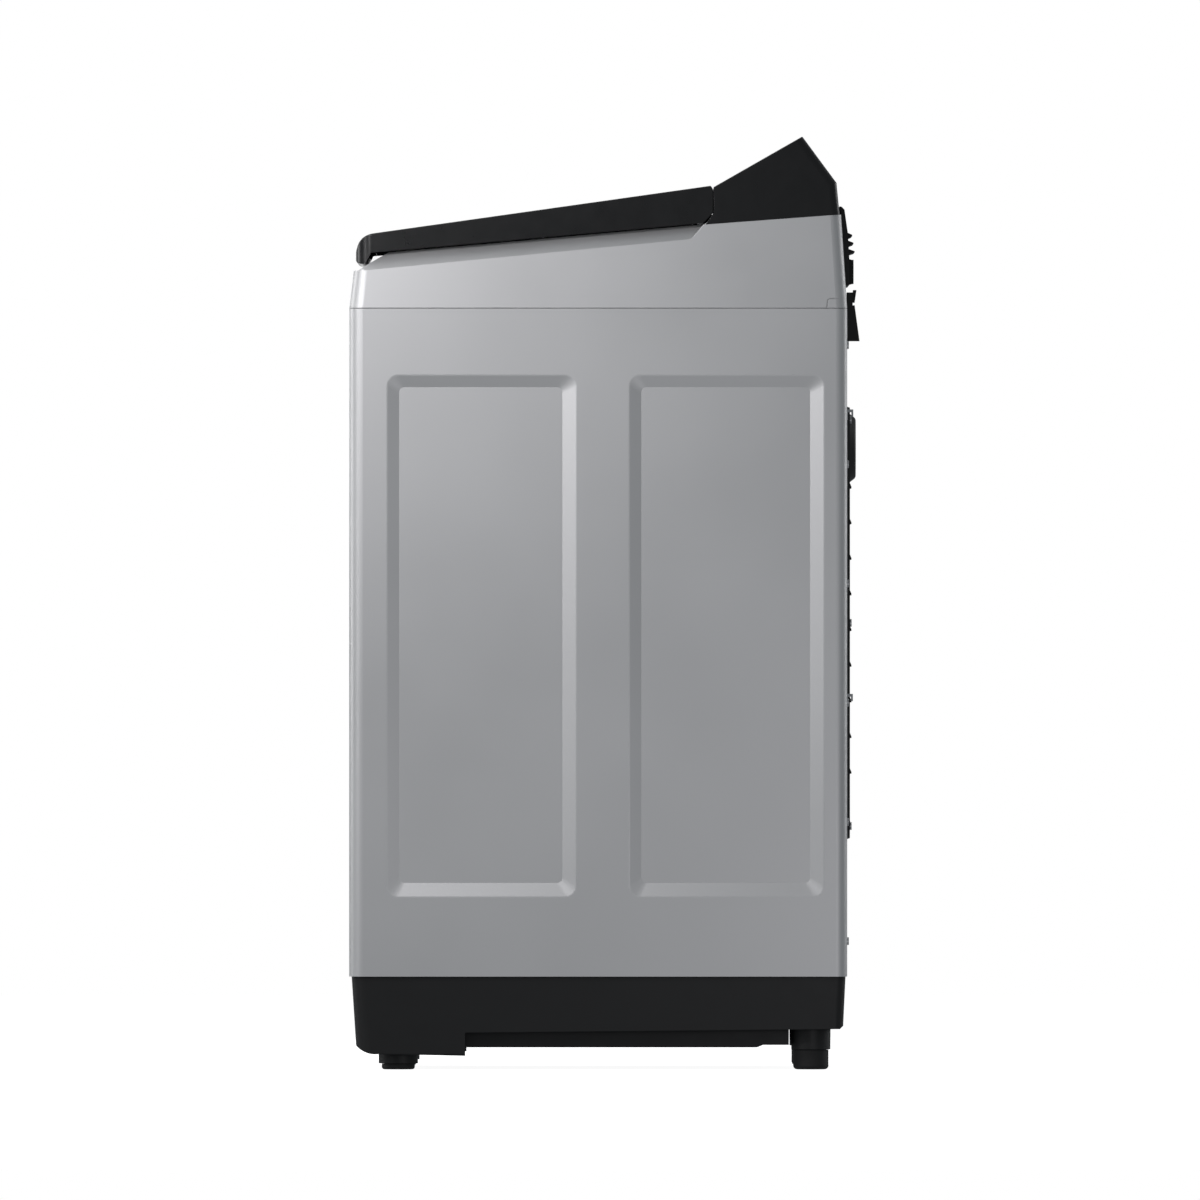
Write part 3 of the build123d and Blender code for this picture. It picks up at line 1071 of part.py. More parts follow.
with BuildPart() as lid_inner_frame:
    y0, y1 = INNER_Y
    side_prism([(y0, lid_under(y0)), (y0, lid_under(y0) + 3.0), (y1, lid_under(y1) + 3.0),
                (y1, lid_under(y1))],
               -(LID_HALF - LID_WALL - 0.3), LID_HALF - LID_WALL - 0.3)
    with BuildSketch(Plane.XY.offset(880)):
        with Locations((0, -58.0)):
            RectangleRounded(2 * WINDOW_HALF, 262, 60)
    extrude(amount=60, mode=Mode.SUBTRACT)
    # funnel wall from the window's edge up to the glass
    with BuildSketch(Plane.XY.offset(890)) as funnel:
        with Locations((0, -58.0)):
            RectangleRounded(2 * WINDOW_HALF + 5, 267, 62.5)
            RectangleRounded(2 * WINDOW_HALF, 262, 60, mode=Mode.SUBTRACT)
    extrude(amount=80)
    side_prism([(-300, 860), (-300, lid_under(-300)), (150, lid_under(150)), (150, 860)], -300, 300,
               mode=Mode.SUBTRACT)
    side_prism([(-300, 1010), (-300, lid_top(-300) - 7.2), (150, lid_top(150) - 7.2), (150, 1010)], -300, 300,
               mode=Mode.SUBTRACT)
save(lid_inner_frame, "lid_inner_frame")

with BuildPart() as lid_hinge_pins:
    for side in (-1, 1):
        rod_along_x(min(side * 238, side * 259), max(side * 238, side * 259), HINGE_Y, HINGE_Z, HINGE_PIN_R)
save(lid_hinge_pins, "lid_hinge_pins")

with BuildPart() as lid_damper:
    # rotary damper beside the left hinge post; the pin runs in its bore
    rod_along_x(-240.8, -214, HINGE_Y, HINGE_Z - 0.3, 3.6)
    rod_along_x(-241, -236, HINGE_Y, HINGE_Z, HINGE_PIN_R + 0.05, mode=Mode.SUBTRACT)
    block(-234, -218, HINGE_Y - 4.2, HINGE_Y - 2.4, rim_top(HINGE_Y - 2.4), HINGE_Z - 2)
save(lid_damper, "lid_damper")
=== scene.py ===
import json
import math

import bmesh
import bpy
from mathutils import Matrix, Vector


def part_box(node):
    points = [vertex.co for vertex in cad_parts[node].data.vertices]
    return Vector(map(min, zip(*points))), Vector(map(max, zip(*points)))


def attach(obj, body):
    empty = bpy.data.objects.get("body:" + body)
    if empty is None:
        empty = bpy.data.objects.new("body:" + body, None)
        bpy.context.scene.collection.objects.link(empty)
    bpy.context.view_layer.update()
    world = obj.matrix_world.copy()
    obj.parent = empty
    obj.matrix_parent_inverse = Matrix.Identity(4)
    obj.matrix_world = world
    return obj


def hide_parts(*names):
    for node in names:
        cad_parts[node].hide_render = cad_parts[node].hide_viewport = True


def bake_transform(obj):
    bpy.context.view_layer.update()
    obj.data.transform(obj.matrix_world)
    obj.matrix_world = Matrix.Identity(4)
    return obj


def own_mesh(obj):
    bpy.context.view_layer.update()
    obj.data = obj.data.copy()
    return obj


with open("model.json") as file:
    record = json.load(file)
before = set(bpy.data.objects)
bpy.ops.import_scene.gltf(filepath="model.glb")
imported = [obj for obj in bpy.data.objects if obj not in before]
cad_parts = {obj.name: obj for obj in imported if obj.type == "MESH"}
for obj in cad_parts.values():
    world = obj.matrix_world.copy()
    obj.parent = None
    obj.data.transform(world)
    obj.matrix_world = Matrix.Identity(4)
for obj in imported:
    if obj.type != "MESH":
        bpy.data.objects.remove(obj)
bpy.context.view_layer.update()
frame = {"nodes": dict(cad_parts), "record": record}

# ---------------------------------------------------------------- places taken from the frame
MM = 0.001
nodes = frame["nodes"]
slots = {part["node"]: part["material_slot"] for part in frame["record"]["subparts"]}
ROOT = "frame"

drum_low, drum_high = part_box("basket_wall")
tub_x = (drum_low.x + drum_high.x) / 2
tub_y = (drum_low.y + drum_high.y) / 2


# ---------------------------------------------------------------- materials
def new_material(name):
    """An empty node material with its shader and output."""
    material = bpy.data.materials.new(name)
    material.use_nodes = True
    tree = material.node_tree
    tree.nodes.clear()
    shader = tree.nodes.new("ShaderNodeBsdfPrincipled")
    output = tree.nodes.new("ShaderNodeOutputMaterial")
    tree.links.new(shader.outputs["BSDF"], output.inputs["Surface"])
    return material, tree, shader


def node(tree, kind, **values):
    """A node with its sockets set by name; names with a leading underscore set its properties."""
    made = tree.nodes.new(kind)
    for key, value in values.items():
        if key.startswith("_"):
            setattr(made, key[1:], value)
        else:
            made.inputs[key.replace("_", " ")].default_value = value
    return made


def object_point(tree, scale=(1.0, 1.0, 1.0)):
    """Object coordinates, stretched by scale."""
    coordinates = node(tree, "ShaderNodeTexCoord")
    mapping = node(tree, "ShaderNodeMapping")
    mapping.inputs["Scale"].default_value = scale
    tree.links.new(coordinates.outputs["Object"], mapping.inputs["Vector"])
    return mapping.outputs["Vector"]


def noise(tree, point, scale, detail=3.0, roughness=0.5):
    made = node(tree, "ShaderNodeTexNoise", Scale=scale, Detail=detail, Roughness=roughness)
    tree.links.new(point, made.inputs["Vector"])
    return made.outputs["Fac"]


def spread(tree, value, low, high, from_low=0.3, from_high=0.7):
    """Map a noise value to a range."""
    made = node(tree, "ShaderNodeMapRange", From_Min=from_low, From_Max=from_high, To_Min=low, To_Max=high)
    tree.links.new(value, made.inputs["Value"])
    return made.outputs["Result"]


def tint(tree, value, dark, light, low=0.35, high=0.65):
    """Colour ramp between two colours."""
    ramp = node(tree, "ShaderNodeValToRGB")
    ramp.color_ramp.elements[0].position = low
    ramp.color_ramp.elements[0].color = (*dark, 1.0)
    ramp.color_ramp.elements[1].position = high
    ramp.color_ramp.elements[1].color = (*light, 1.0)
    tree.links.new(value, ramp.inputs["Fac"])
    return ramp.outputs["Color"]


def bump(tree, shader, height, strength, distance, edge=0.0):
    """Bump from a height value, over edges softened by edge metres."""
    made = node(tree, "ShaderNodeBump", Strength=strength, Distance=distance)
    tree.links.new(height, made.inputs["Height"])
    if edge > 0:
        soft = node(tree, "ShaderNodeBevel", Radius=edge, _samples=4)
        tree.links.new(soft.outputs["Normal"], made.inputs["Normal"])
    tree.links.new(made.outputs["Normal"], shader.inputs["Normal"])
    return made


def shade(colour, factor):
    return tuple(min(1.0, max(0.0, part * factor)) for part in colour)


def moulded(name, colour, roughness=0.45, grain=900.0, depth=0.00004, edge=0.0008, spread_by=0.06, coat=0.0,
            scuff=0.04):
    """Moulded plastic: a fine spark-eroded grain, slight colour drift and uneven gloss."""
    material, tree, shader = new_material(name)
    point = object_point(tree)
    drift = noise(tree, point, 9.0, 4.0)
    base = tint(tree, drift, shade(colour, 1 - spread_by), shade(colour, 1 + spread_by))
    tree.links.new(base, shader.inputs["Base Color"])
    gloss = noise(tree, point, 38.0, 5.0, 0.6)
    tree.links.new(spread(tree, gloss, roughness - scuff, roughness + scuff), shader.inputs["Roughness"])
    shader.inputs["Coat Weight"].default_value = coat
    shader.inputs["Coat Roughness"].default_value = 0.12
    shader.inputs["Specular IOR Level"].default_value = 0.4
    bump(tree, shader, noise(tree, point, grain, 2.0), 0.5, depth, edge)
    return material


def metal(name, colour, roughness=0.3, stretch=(1.0, 1.0, 1.0), grain=400.0, depth=0.00002, edge=0.0005,
          metallic=1.0, scuff=0.08):
    """Worked metal: grain drawn out along one direction, with uneven gloss."""
    material, tree, shader = new_material(name)
    point = object_point(tree, stretch)
    lines = noise(tree, point, grain, 4.0, 0.65)
    base = tint(tree, lines, shade(colour, 0.88), shade(colour, 1.08))
    tree.links.new(base, shader.inputs["Base Color"])
    shader.inputs["Metallic"].default_value = metallic
    tree.links.new(spread(tree, lines, roughness - scuff, roughness + scuff), shader.inputs["Roughness"])
    bump(tree, shader, lines, 0.4, depth, edge)
    return material


def painted_steel():
    """Silver-grey stove paint: fine metal flake, orange peel and a faint cloudiness."""
    material, tree, shader = new_material("cabinet_paint")
    point = object_point(tree)
    flake = node(tree, "ShaderNodeTexVoronoi", Scale=2600.0)
    tree.links.new(point, flake.inputs["Vector"])
    cloud = noise(tree, point, 3.5, 3.0)
    mixed = node(tree, "ShaderNodeMath", _operation="MULTIPLY_ADD")
    tree.links.new(flake.outputs["Distance"], mixed.inputs[0])
    mixed.inputs[1].default_value = 0.25
    tree.links.new(cloud, mixed.inputs[2])
    base = tint(tree, mixed.outputs["Value"], PAINT_DARK, PAINT_LIGHT, 0.35, 0.95)
    tree.links.new(base, shader.inputs["Base Color"])
    shader.inputs["Metallic"].default_value = 0.8
    shader.inputs["Coat Weight"].default_value = 0.1
    shader.inputs["Coat Roughness"].default_value = 0.22
    tree.links.new(spread(tree, cloud, 0.48, 0.54), shader.inputs["Roughness"])
    bump(tree, shader, noise(tree, point, 260.0, 2.0), 0.25, 0.00005)
    return material


PAINT_DARK = (0.575, 0.575, 0.580)
PAINT_LIGHT = (0.625, 0.625, 0.630)


def silver_cover():
    """Silver-lacquered plastic that matches the cabinet."""
    material, tree, shader = new_material("cover_lacquer")
    point = object_point(tree)
    flake = node(tree, "ShaderNodeTexVoronoi", Scale=2200.0)
    tree.links.new(point, flake.inputs["Vector"])
    cloud = noise(tree, point, 5.0, 3.0)
    mixed = node(tree, "ShaderNodeMath", _operation="MULTIPLY_ADD")
    tree.links.new(flake.outputs["Distance"], mixed.inputs[0])
    mixed.inputs[1].default_value = 0.2
    tree.links.new(cloud, mixed.inputs[2])
    base = tint(tree, mixed.outputs["Value"], PAINT_DARK, PAINT_LIGHT, 0.35, 0.9)
    tree.links.new(base, shader.inputs["Base Color"])
    shader.inputs["Metallic"].default_value = 0.8
    tree.links.new(spread(tree, cloud, 0.48, 0.54), shader.inputs["Roughness"])
    bump(tree, shader, noise(tree, point, 700.0, 2.0), 0.3, 0.00003, 0.0012)
    return material


def galvanised():
    """Zinc-coated sheet with its spangle."""
    material, tree, shader = new_material("galvanised_sheet")
    point = object_point(tree)
    spangle = node(tree, "ShaderNodeTexVoronoi", Scale=70.0)
    tree.links.new(point, spangle.inputs["Vector"])
    gray = node(tree, "ShaderNodeRGBToBW")
    tree.links.new(spangle.outputs["Color"], gray.inputs["Color"])
    base = tint(tree, gray.outputs["Val"], (0.40, 0.41, 0.42), (0.56, 0.57, 0.58), 0.1, 0.9)
    tree.links.new(base, shader.inputs["Base Color"])
    shader.inputs["Metallic"].default_value = 0.85
    tree.links.new(spread(tree, gray.outputs["Val"], 0.38, 0.55, 0.0, 1.0), shader.inputs["Roughness"])
    bump(tree, shader, noise(tree, point, 300.0), 0.2, 0.00003)
    return material


def tinted_glass():
    """Tempered lid glass, smoke grey, with faint waviness."""
    material, tree, shader = new_material("tinted_glass")
    point = object_point(tree)
    film = noise(tree, point, 14.0, 4.0)
    base = tint(tree, film, (0.16, 0.165, 0.175), (0.19, 0.195, 0.205))
    tree.links.new(base, shader.inputs["Base Color"])
    shader.inputs["Transmission Weight"].default_value = 1.0
    shader.inputs["IOR"].default_value = 1.5
    tree.links.new(spread(tree, film, 0.01, 0.035), shader.inputs["Roughness"])
    bump(tree, shader, noise(tree, point, 6.0, 1.0), 0.15, 0.0002)
    return material


def circuit_laminate():
    """Green board with copper tracks under the mask and pale pads."""
    material, tree, shader = new_material("circuit_laminate")
    point = object_point(tree)
    track = node(tree, "ShaderNodeTexBrick", Scale=60.0, Mortar_Size=0.03)
    track.inputs["Color1"].default_value = (0.012, 0.085, 0.035, 1.0)
    track.inputs["Color2"].default_value = (0.018, 0.12, 0.05, 1.0)
    track.inputs["Mortar"].default_value = (0.10, 0.26, 0.10, 1.0)
    tree.links.new(point, track.inputs["Vector"])
    tree.links.new(track.outputs["Color"], shader.inputs["Base Color"])
    tree.links.new(spread(tree, noise(tree, point, 80.0), 0.25, 0.45), shader.inputs["Roughness"])
    bump(tree, shader, track.outputs["Fac"], 0.5, 0.0001)
    return material


def laminated_iron():
    """Stacked laminations, seen as fine level lines."""
    material, tree, shader = new_material("laminated_iron")
    point = object_point(tree)
    wave = node(tree, "ShaderNodeTexWave", Scale=320.0, Distortion=0.3, _bands_direction="Z")
    tree.links.new(point, wave.inputs["Vector"])
    base = tint(tree, wave.outputs["Fac"], (0.045, 0.045, 0.05), (0.12, 0.12, 0.13), 0.2, 0.9)
    tree.links.new(base, shader.inputs["Base Color"])
    shader.inputs["Metallic"].default_value = 0.8
    tree.links.new(spread(tree, noise(tree, point, 60.0), 0.4, 0.6), shader.inputs["Roughness"])
    bump(tree, shader, wave.outputs["Fac"], 0.5, 0.0001)
    return material


MATERIALS = {
    "cabinet_steel": painted_steel(),
    "cover_plastic": silver_cover(),
    "galvanised_steel": galvanised(),
    "black_plastic": moulded("black_moulding", (0.008, 0.008, 0.0085), 0.5, 1100.0, 0.00005),
    "console_plastic": moulded("satin_black_moulding", (0.008, 0.008, 0.0085), 0.30, 1500.0, 0.00003,
                               0.0012),
    "panel_gloss": moulded("panel_overlay", (0.010, 0.010, 0.011), 0.14, 300.0, 0.00001, 0.0006, coat=0.6),
    "display_lens": moulded("display_lens", (0.006, 0.007, 0.008), 0.07, 200.0, 0.00001, 0.0003, coat=1.0,
                            scuff=0.02),
    "lid_glass": tinted_glass(),
    "tub_plastic": moulded("tub_moulding", (0.62, 0.63, 0.63), 0.5, 500.0, 0.00006),
    "white_plastic": moulded("white_moulding", (0.72, 0.73, 0.73), 0.35, 700.0, 0.00003),
    "pulsator_plastic": moulded("pulsator_moulding", (0.50, 0.53, 0.56), 0.3, 500.0, 0.00003, coat=0.2),
    "filter_plastic": moulded("filter_moulding", (0.17, 0.30, 0.45), 0.4, 600.0, 0.00003),
    "drum_steel": metal("brushed_stainless", (0.78, 0.785, 0.79), 0.34, (1.0, 1.0, 24.0), 90.0, scuff=0.04),
    "shaft_steel": metal("ground_steel", (0.50, 0.50, 0.51), 0.3, (1.0, 1.0, 12.0), 220.0),
    "cast_aluminium": metal("cast_aluminium", (0.48, 0.49, 0.50), 0.5, grain=160.0, depth=0.0001),
    "motor_iron": laminated_iron(),
    "button_plastic": moulded("button_lacquer", (0.20, 0.20, 0.21), 0.3, 1500.0, 0.00002, 0.0006, coat=0.3),
    "circuit_board": circuit_laminate(),
    "rubber": moulded("foot_rubber", (0.010, 0.010, 0.010), 0.65, 600.0, 0.00008),
    "seal_rubber": moulded("hose_rubber", (0.045, 0.045, 0.048), 0.55, 600.0, 0.00008),
    "clip_plastic": moulded("clip_moulding", (0.45, 0.46, 0.47), 0.45, 800.0, 0.00004),
    "spring_steel": metal("spring_wire", (0.34, 0.34, 0.35), 0.35, grain=500.0),
}


def dress(obj, slot):
    """Give a piece the material of one of the record's slots."""
    obj.data.materials.clear()
    obj.data.materials.append(MATERIALS[slot])


for name, obj in nodes.items():
    dress(obj, slots[name])

# ---------------------------------------------------------------- mesh helpers for the new pieces
SMOOTH_ANGLE = math.radians(38)
TUBE_SIDES = 28


def piece(name, points, faces, slot, body=None, smooth=True):
    """A mesh from points and faces, dressed, and riding on body where one is given."""
    mesh = bpy.data.meshes.new(name)
    mesh.from_pydata(points, [], faces)
    solid = bmesh.new()
    solid.from_mesh(mesh)
    bmesh.ops.remove_doubles(solid, verts=solid.verts, dist=1e-7)
    bmesh.ops.recalc_face_normals(solid, faces=solid.faces)
    for face in solid.faces:
        face.smooth = smooth
    for edge in solid.edges:
        edge.smooth = len(edge.link_faces) == 2 and edge.calc_face_angle(0) < SMOOTH_ANGLE
    solid.to_mesh(mesh)
    solid.free()
    obj = bpy.data.objects.new(name, mesh)
    bpy.context.collection.objects.link(obj)
    dress(obj, slot)
    if body:
        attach(obj, body)
    return obj


def grid_faces(rows, columns, closed, start=0):
    """Quads over a grid of rows by columns, its columns closed into a ring where asked."""
    faces = []
    for row in range(rows - 1):
        for column in range(columns if closed else columns - 1):
            after = (column + 1) % columns
            faces.append((start + row * columns + column, start + row * columns + after,
                          start + (row + 1) * columns + after, start + (row + 1) * columns + column))
    return faces


def thicken(points, faces, shift):
    """Close a skin into a solid: shift(point) gives each point's partner on the other side."""
    count = len(points)
    uses = {}
    for face in faces:
        for first, second in zip(face, face[1:] + face[:1]):
            key = (min(first, second), max(first, second))
            uses[key] = uses.get(key, 0) + 1
    other = [tuple(index + count for index in reversed(face)) for face in faces]
    rims = [(first, second, second + count, first + count)
            for (first, second), used in uses.items() if used == 1]
    return points + [shift(point) for point in points], faces + other + rims


def along(path, rings):
    """Sweep rings of (radius, place along the path 0..1) about a path of points; the ends stay open."""
    line = [Vector(point) for point in path]
    runs = [0.0]
    for before, after in zip(line, line[1:]):
        runs.append(runs[-1] + (after - before).length)

    def place(share):
        want = share * runs[-1]
        index = 0
        while index < len(line) - 2 and runs[index + 1] < want:
            index += 1
        part = (want - runs[index]) / max(1e-9, runs[index + 1] - runs[index])
        return line[index].lerp(line[index + 1], part), index

    points = []
    side = (line[1] - line[0]).normalized().orthogonal().normalized()
    for radius, share in rings:
        middle, index = place(share)
        before = line[index] - line[index - 1] if index > 0 else line[1] - line[0]
        after = line[index + 1] - line[index]
        heading = (before.normalized() + after.normalized()).normalized()
        side = (side - heading * side.dot(heading)).normalized()
        across = heading.cross(side)
        for step in range(TUBE_SIDES):
            turn = 2 * math.pi * step / TUBE_SIDES
            points.append(tuple(middle + (side * math.cos(turn) + across * math.sin(turn)) * radius))
    return points, grid_faces(len(rings), TUBE_SIDES, True)


def about_tub(radius, turn, z):
    """A point at a radius and angle about the tub's axis."""
    return (tub_x + radius * math.cos(turn), tub_y + radius * math.sin(turn), z)


# ---------------------------------------------------------------- drum wall
DRUM_SHEET = 0.7 * MM
DRUM_INNER = drum_high.x - tub_x - DRUM_SHEET
WALL_LOW, WALL_TOP = drum_low.z, drum_high.z
HOLE_COLUMNS = 72
HOLE_ROWS = 25
HOLE_R = 1.9 * MM
PLAIN_BAND = 30 * MM
EDGE_BAND = 12 * MM
PRESS_DEPTH = 2.6 * MM


def drum_skin():
    """The drum's inside skin: round holes in a grid, between soft pressed lozenges that stand inwards."""
    low, top = WALL_LOW + PLAIN_BAND, WALL_TOP - PLAIN_BAND
    pitch_z = (top - low) / HOLE_ROWS
    step = 2 * math.pi / HOLE_COLUMNS
    points, faces, known = [], [], {}

    def add(turn, z, key=None):
        if key is not None:
            if key in known:
                return known[key]
            known[key] = len(points)
        fade = min(1.0, max(0.0, (z - WALL_LOW - 0.6 * PLAIN_BAND) / 0.03))
        fade = fade * min(1.0, max(0.0, (WALL_TOP - 0.6 * PLAIN_BAND - z) / 0.03))
        wave = math.cos(turn * 12) * math.cos(math.pi * (z - low) / (2.5 * pitch_z))
        press = PRESS_DEPTH * fade * max(0.0, wave) ** 1.2
        points.append(about_tub(DRUM_INNER - press, turn, z))
        return len(points) - 1

    rows = [(WALL_LOW, WALL_LOW + EDGE_BAND, False), (WALL_LOW + EDGE_BAND, low, False)]
    rows += [(low + row * pitch_z, low + (row + 1) * pitch_z, True) for row in range(HOLE_ROWS)]
    rows += [(top, WALL_TOP - EDGE_BAND, False), (WALL_TOP - EDGE_BAND, WALL_TOP, False)]
    for row, (z0, z1, holed) in enumerate(rows):
        middle_z = (z0 + z1) / 2
        for column in range(HOLE_COLUMNS):
            middle_turn = (column + 0.5) * step
            rim = []
            for turn_step, z_step in ((-1, -1), (0, -1), (1, -1), (1, 0), (1, 1), (0, 1), (-1, 1), (-1, 0)):
                key = ((2 * column + 1 + turn_step) % (2 * HOLE_COLUMNS), 2 * row + 1 + z_step)
                z = (z0, middle_z, z1)[z_step + 1]
                rim.append(add(middle_turn + turn_step * step / 2, z, key))
            if not holed:
                centre = add(middle_turn, middle_z)
                faces += [(rim[at], rim[(at + 1) % 8], centre) for at in range(8)]
                continue
            hole = []
            for at in range(16):
                angle = math.radians(-135 + 22.5 * at)
                hole.append(add(middle_turn + HOLE_R * math.cos(angle) / DRUM_INNER,
                                middle_z + HOLE_R * math.sin(angle)))
            for at in range(8):
                first, second = rim[at], rim[(at + 1) % 8]
                faces.append((first, second, hole[(2 * at + 2) % 16], hole[2 * at + 1]))
                faces.append((first, hole[2 * at + 1], hole[2 * at]))
    return points, faces


def out_by(thickness):
    """Shift that moves a point outwards from the tub's axis."""
    def shift(point):
        offset = Vector((point[0] - tub_x, point[1] - tub_y, 0)).normalized() * thickness
        return (point[0] + offset.x, point[1] + offset.y, point[2])
    return shift


drum_points, drum_faces = drum_skin()
drum_points, drum_faces = thicken(drum_points, drum_faces, out_by(DRUM_SHEET))
drum_wall = piece("drum_wall_pressed", drum_points, drum_faces, "drum_steel", "drum")
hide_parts("basket_wall")

# ---------------------------------------------------------------- suspension springs
ROD_REACH = 0.190
SPRING_LOW = 0.1377
SPRING_TOP = 0.2245
SPRING_TURNS = 8.6
SPRING_R = 12.5 * MM
WIRE_R = 1.5 * MM
CLOSED_TURNS = 0.8
COIL_STEPS = 420
COIL_SIDES = 10


def coil(centre_x, centre_y, start_turn):
    """One round-wire spring with closed turns at each end."""
    points = []
    low, top = SPRING_LOW + WIRE_R, SPRING_TOP - WIRE_R
    closed_rise = 2.02 * WIRE_R
    for index in range(COIL_STEPS + 1):
        share = index / COIL_STEPS
        turn = share * (SPRING_TURNS + 2 * CLOSED_TURNS)
        active = min(1.0, max(0.0, (turn - CLOSED_TURNS) / SPRING_TURNS))
        closed = min(turn, CLOSED_TURNS) + max(0.0, turn - SPRING_TURNS - CLOSED_TURNS)
        height = low + closed * closed_rise + active * (top - low - 2 * CLOSED_TURNS * closed_rise)
        angle = start_turn + 2 * math.pi * turn
        outwards = Vector((math.cos(angle), math.sin(angle), 0))
        middle = Vector((centre_x, centre_y, height)) + outwards * SPRING_R
        for side in range(COIL_SIDES):
            phase = 2 * math.pi * side / COIL_SIDES
            offset = outwards * math.cos(phase) + Vector((0, 0, 1)) * math.sin(phase)
            points.append(tuple(middle + offset * WIRE_R))
    faces = grid_faces(COIL_STEPS + 1, COIL_SIDES, True)
    faces.append(tuple(range(COIL_SIDES)))
    faces.append(tuple(COIL_STEPS * COIL_SIDES + side for side in range(COIL_SIDES)))
    return points, faces


spring_points, spring_faces = [], []
for rod_index, (sign_x, sign_y) in enumerate(((-1, -1), (1, -1), (1, 1), (-1, 1))):
    coil_points, coil_faces = coil(sign_x * ROD_REACH, tub_y + sign_y * ROD_REACH, rod_index * 1.3)
    offset = len(spring_points)
    spring_points += coil_points
    spring_faces += [tuple(index + offset for index in face) for face in coil_faces]
springs = piece("wound_springs", spring_points, spring_faces, "spring_steel", ROOT)
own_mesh(springs)
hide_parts("suspension_springs")

# ---------------------------------------------------------------- internal drain hose
HOSE_POINTS = ((0.090, 0.165, 0.178), (0.112, 0.165, 0.178), (0.128, 0.165, 0.178), (0.128, 0.181, 0.178),
               (0.128, 0.200, 0.178), (0.128, 0.216, 0.178), (0.128, 0.216, 0.196), (0.128, 0.216, 0.260),
               (0.128, 0.216, 0.730), (0.128, 0.216, 0.792), (0.128, 0.216, 0.812), (0.128, 0.234, 0.812),
               (0.128, 0.254, 0.812))
HOSE_IN = 13.05 * MM


def spline_line(name, control):
    """Points along a smooth NURBS line with these control points."""
    curve = bpy.data.curves.new(name, "CURVE")
    curve.dimensions = "3D"
    curve.resolution_u = 24
    spline = curve.splines.new("NURBS")
    spline.points.add(len(control) - 1)
    for point, place in zip(spline.points, control):
        point.co = (*place, 1.0)
    spline.order_u = 3
    spline.use_endpoint_u = True
    holder = bpy.data.objects.new(name, curve)
    line = bpy.data.meshes.new_from_object(holder)
    places = [tuple(vertex.co) for vertex in line.vertices]
    bpy.data.objects.remove(holder)
    return places


hose_line = spline_line("drain_hose_line", HOSE_POINTS)
CUFF = 0.028             # share of the length that is a smooth cuff, at each end
RIDGES = 150
CUFF_R = 14.7 * MM
BORE_STEPS = 160
# millimetres from the hose's middle line, and place within one ridge's pitch
RIDGE_OUTLINE = ((13.9, -0.42), (14.4, -0.24), (15.0, -0.12), (15.0, 0.12), (14.4, 0.24), (13.9, 0.42))
pitch = (1 - 2 * CUFF) / RIDGES
rings = [(CUFF_R, end_share) for end_share in (0.0, CUFF * 0.5, CUFF)]
for ridge in range(RIDGES):
    middle = CUFF + (ridge + 0.5) * (1 - 2 * CUFF) / RIDGES
    for reach, offset in RIDGE_OUTLINE:
        rings.append((reach * MM, middle + offset * pitch))
rings += [(CUFF_R, end_share) for end_share in (1 - CUFF, 1 - CUFF * 0.5, 1.0)]
rings += [(HOSE_IN, 1.0 - step / BORE_STEPS) for step in range(BORE_STEPS + 1)]
hose_points, hose_faces = along(hose_line, rings)
last_ring = len(hose_points) - TUBE_SIDES
hose_faces += [(last_ring + step, last_ring + (step + 1) % TUBE_SIDES, (step + 1) % TUBE_SIDES, step)
               for step in range(TUBE_SIDES)]
drain_hose = piece("corrugated_drain_hose", hose_points, hose_faces, "seal_rubber")
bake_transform(drain_hose)
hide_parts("drain_hose")

# ---------------------------------------------------------------- pulsator
# millimetres: (reach from the axis, height)
TOP_LINE = ((14.0, 303.2), (24.0, 302.0), (60.0, 290.0), (90.0, 286.2), (120.0, 284.6), (158.0, 284.0),
            (165.0, 284.0))
UNDER_LINE = ((165.0, 276.5), (40.0, 278.0), (8.05, 282.0))
SCREW_SEAT = ((8.05, 299.0), (14.0, 299.0))
RINGS = 72


def height_on(line, reach):
    """Height at a reach, read from a line of (reach, height)."""
    for (r0, z0), (r1, z1) in zip(line, line[1:]):
        if reach <= r1:
            return z0 + (z1 - z0) * (reach - r0) / (r1 - r0)
    return line[-1][1]


def ease(low, high, value):
    """0 below low, 1 above high, smooth between."""
    share = min(1.0, max(0.0, (value - low) / (high - low)))
    return share * share * (3 - 2 * share)


def pulsator_height(reach, turn):
    """Top of the pulsator: six swept vanes with bowed backs, low nubs between them and a raised rim."""
    base = height_on(TOP_LINE, reach)
    swept = turn - 0.42 * ease(30, 165, reach)
    vane = max(0.0, math.cos(6 * swept)) ** 2.2 * ease(26, 54, reach) * (1 - ease(140, 157, reach))
    nub = max(0.0, -math.cos(6 * swept)) ** 6 * max(0.0, math.cos((reach - 120) / 22 * math.pi)) ** 2 \
        * ease(92, 104, reach) * (1 - ease(136, 148, reach))
    rim = 1.6 * ease(156, 161, reach) * (1 - 0.5 * ease(162, 165, reach))
    return base + (298.0 - base) * vane + 3.2 * nub + rim


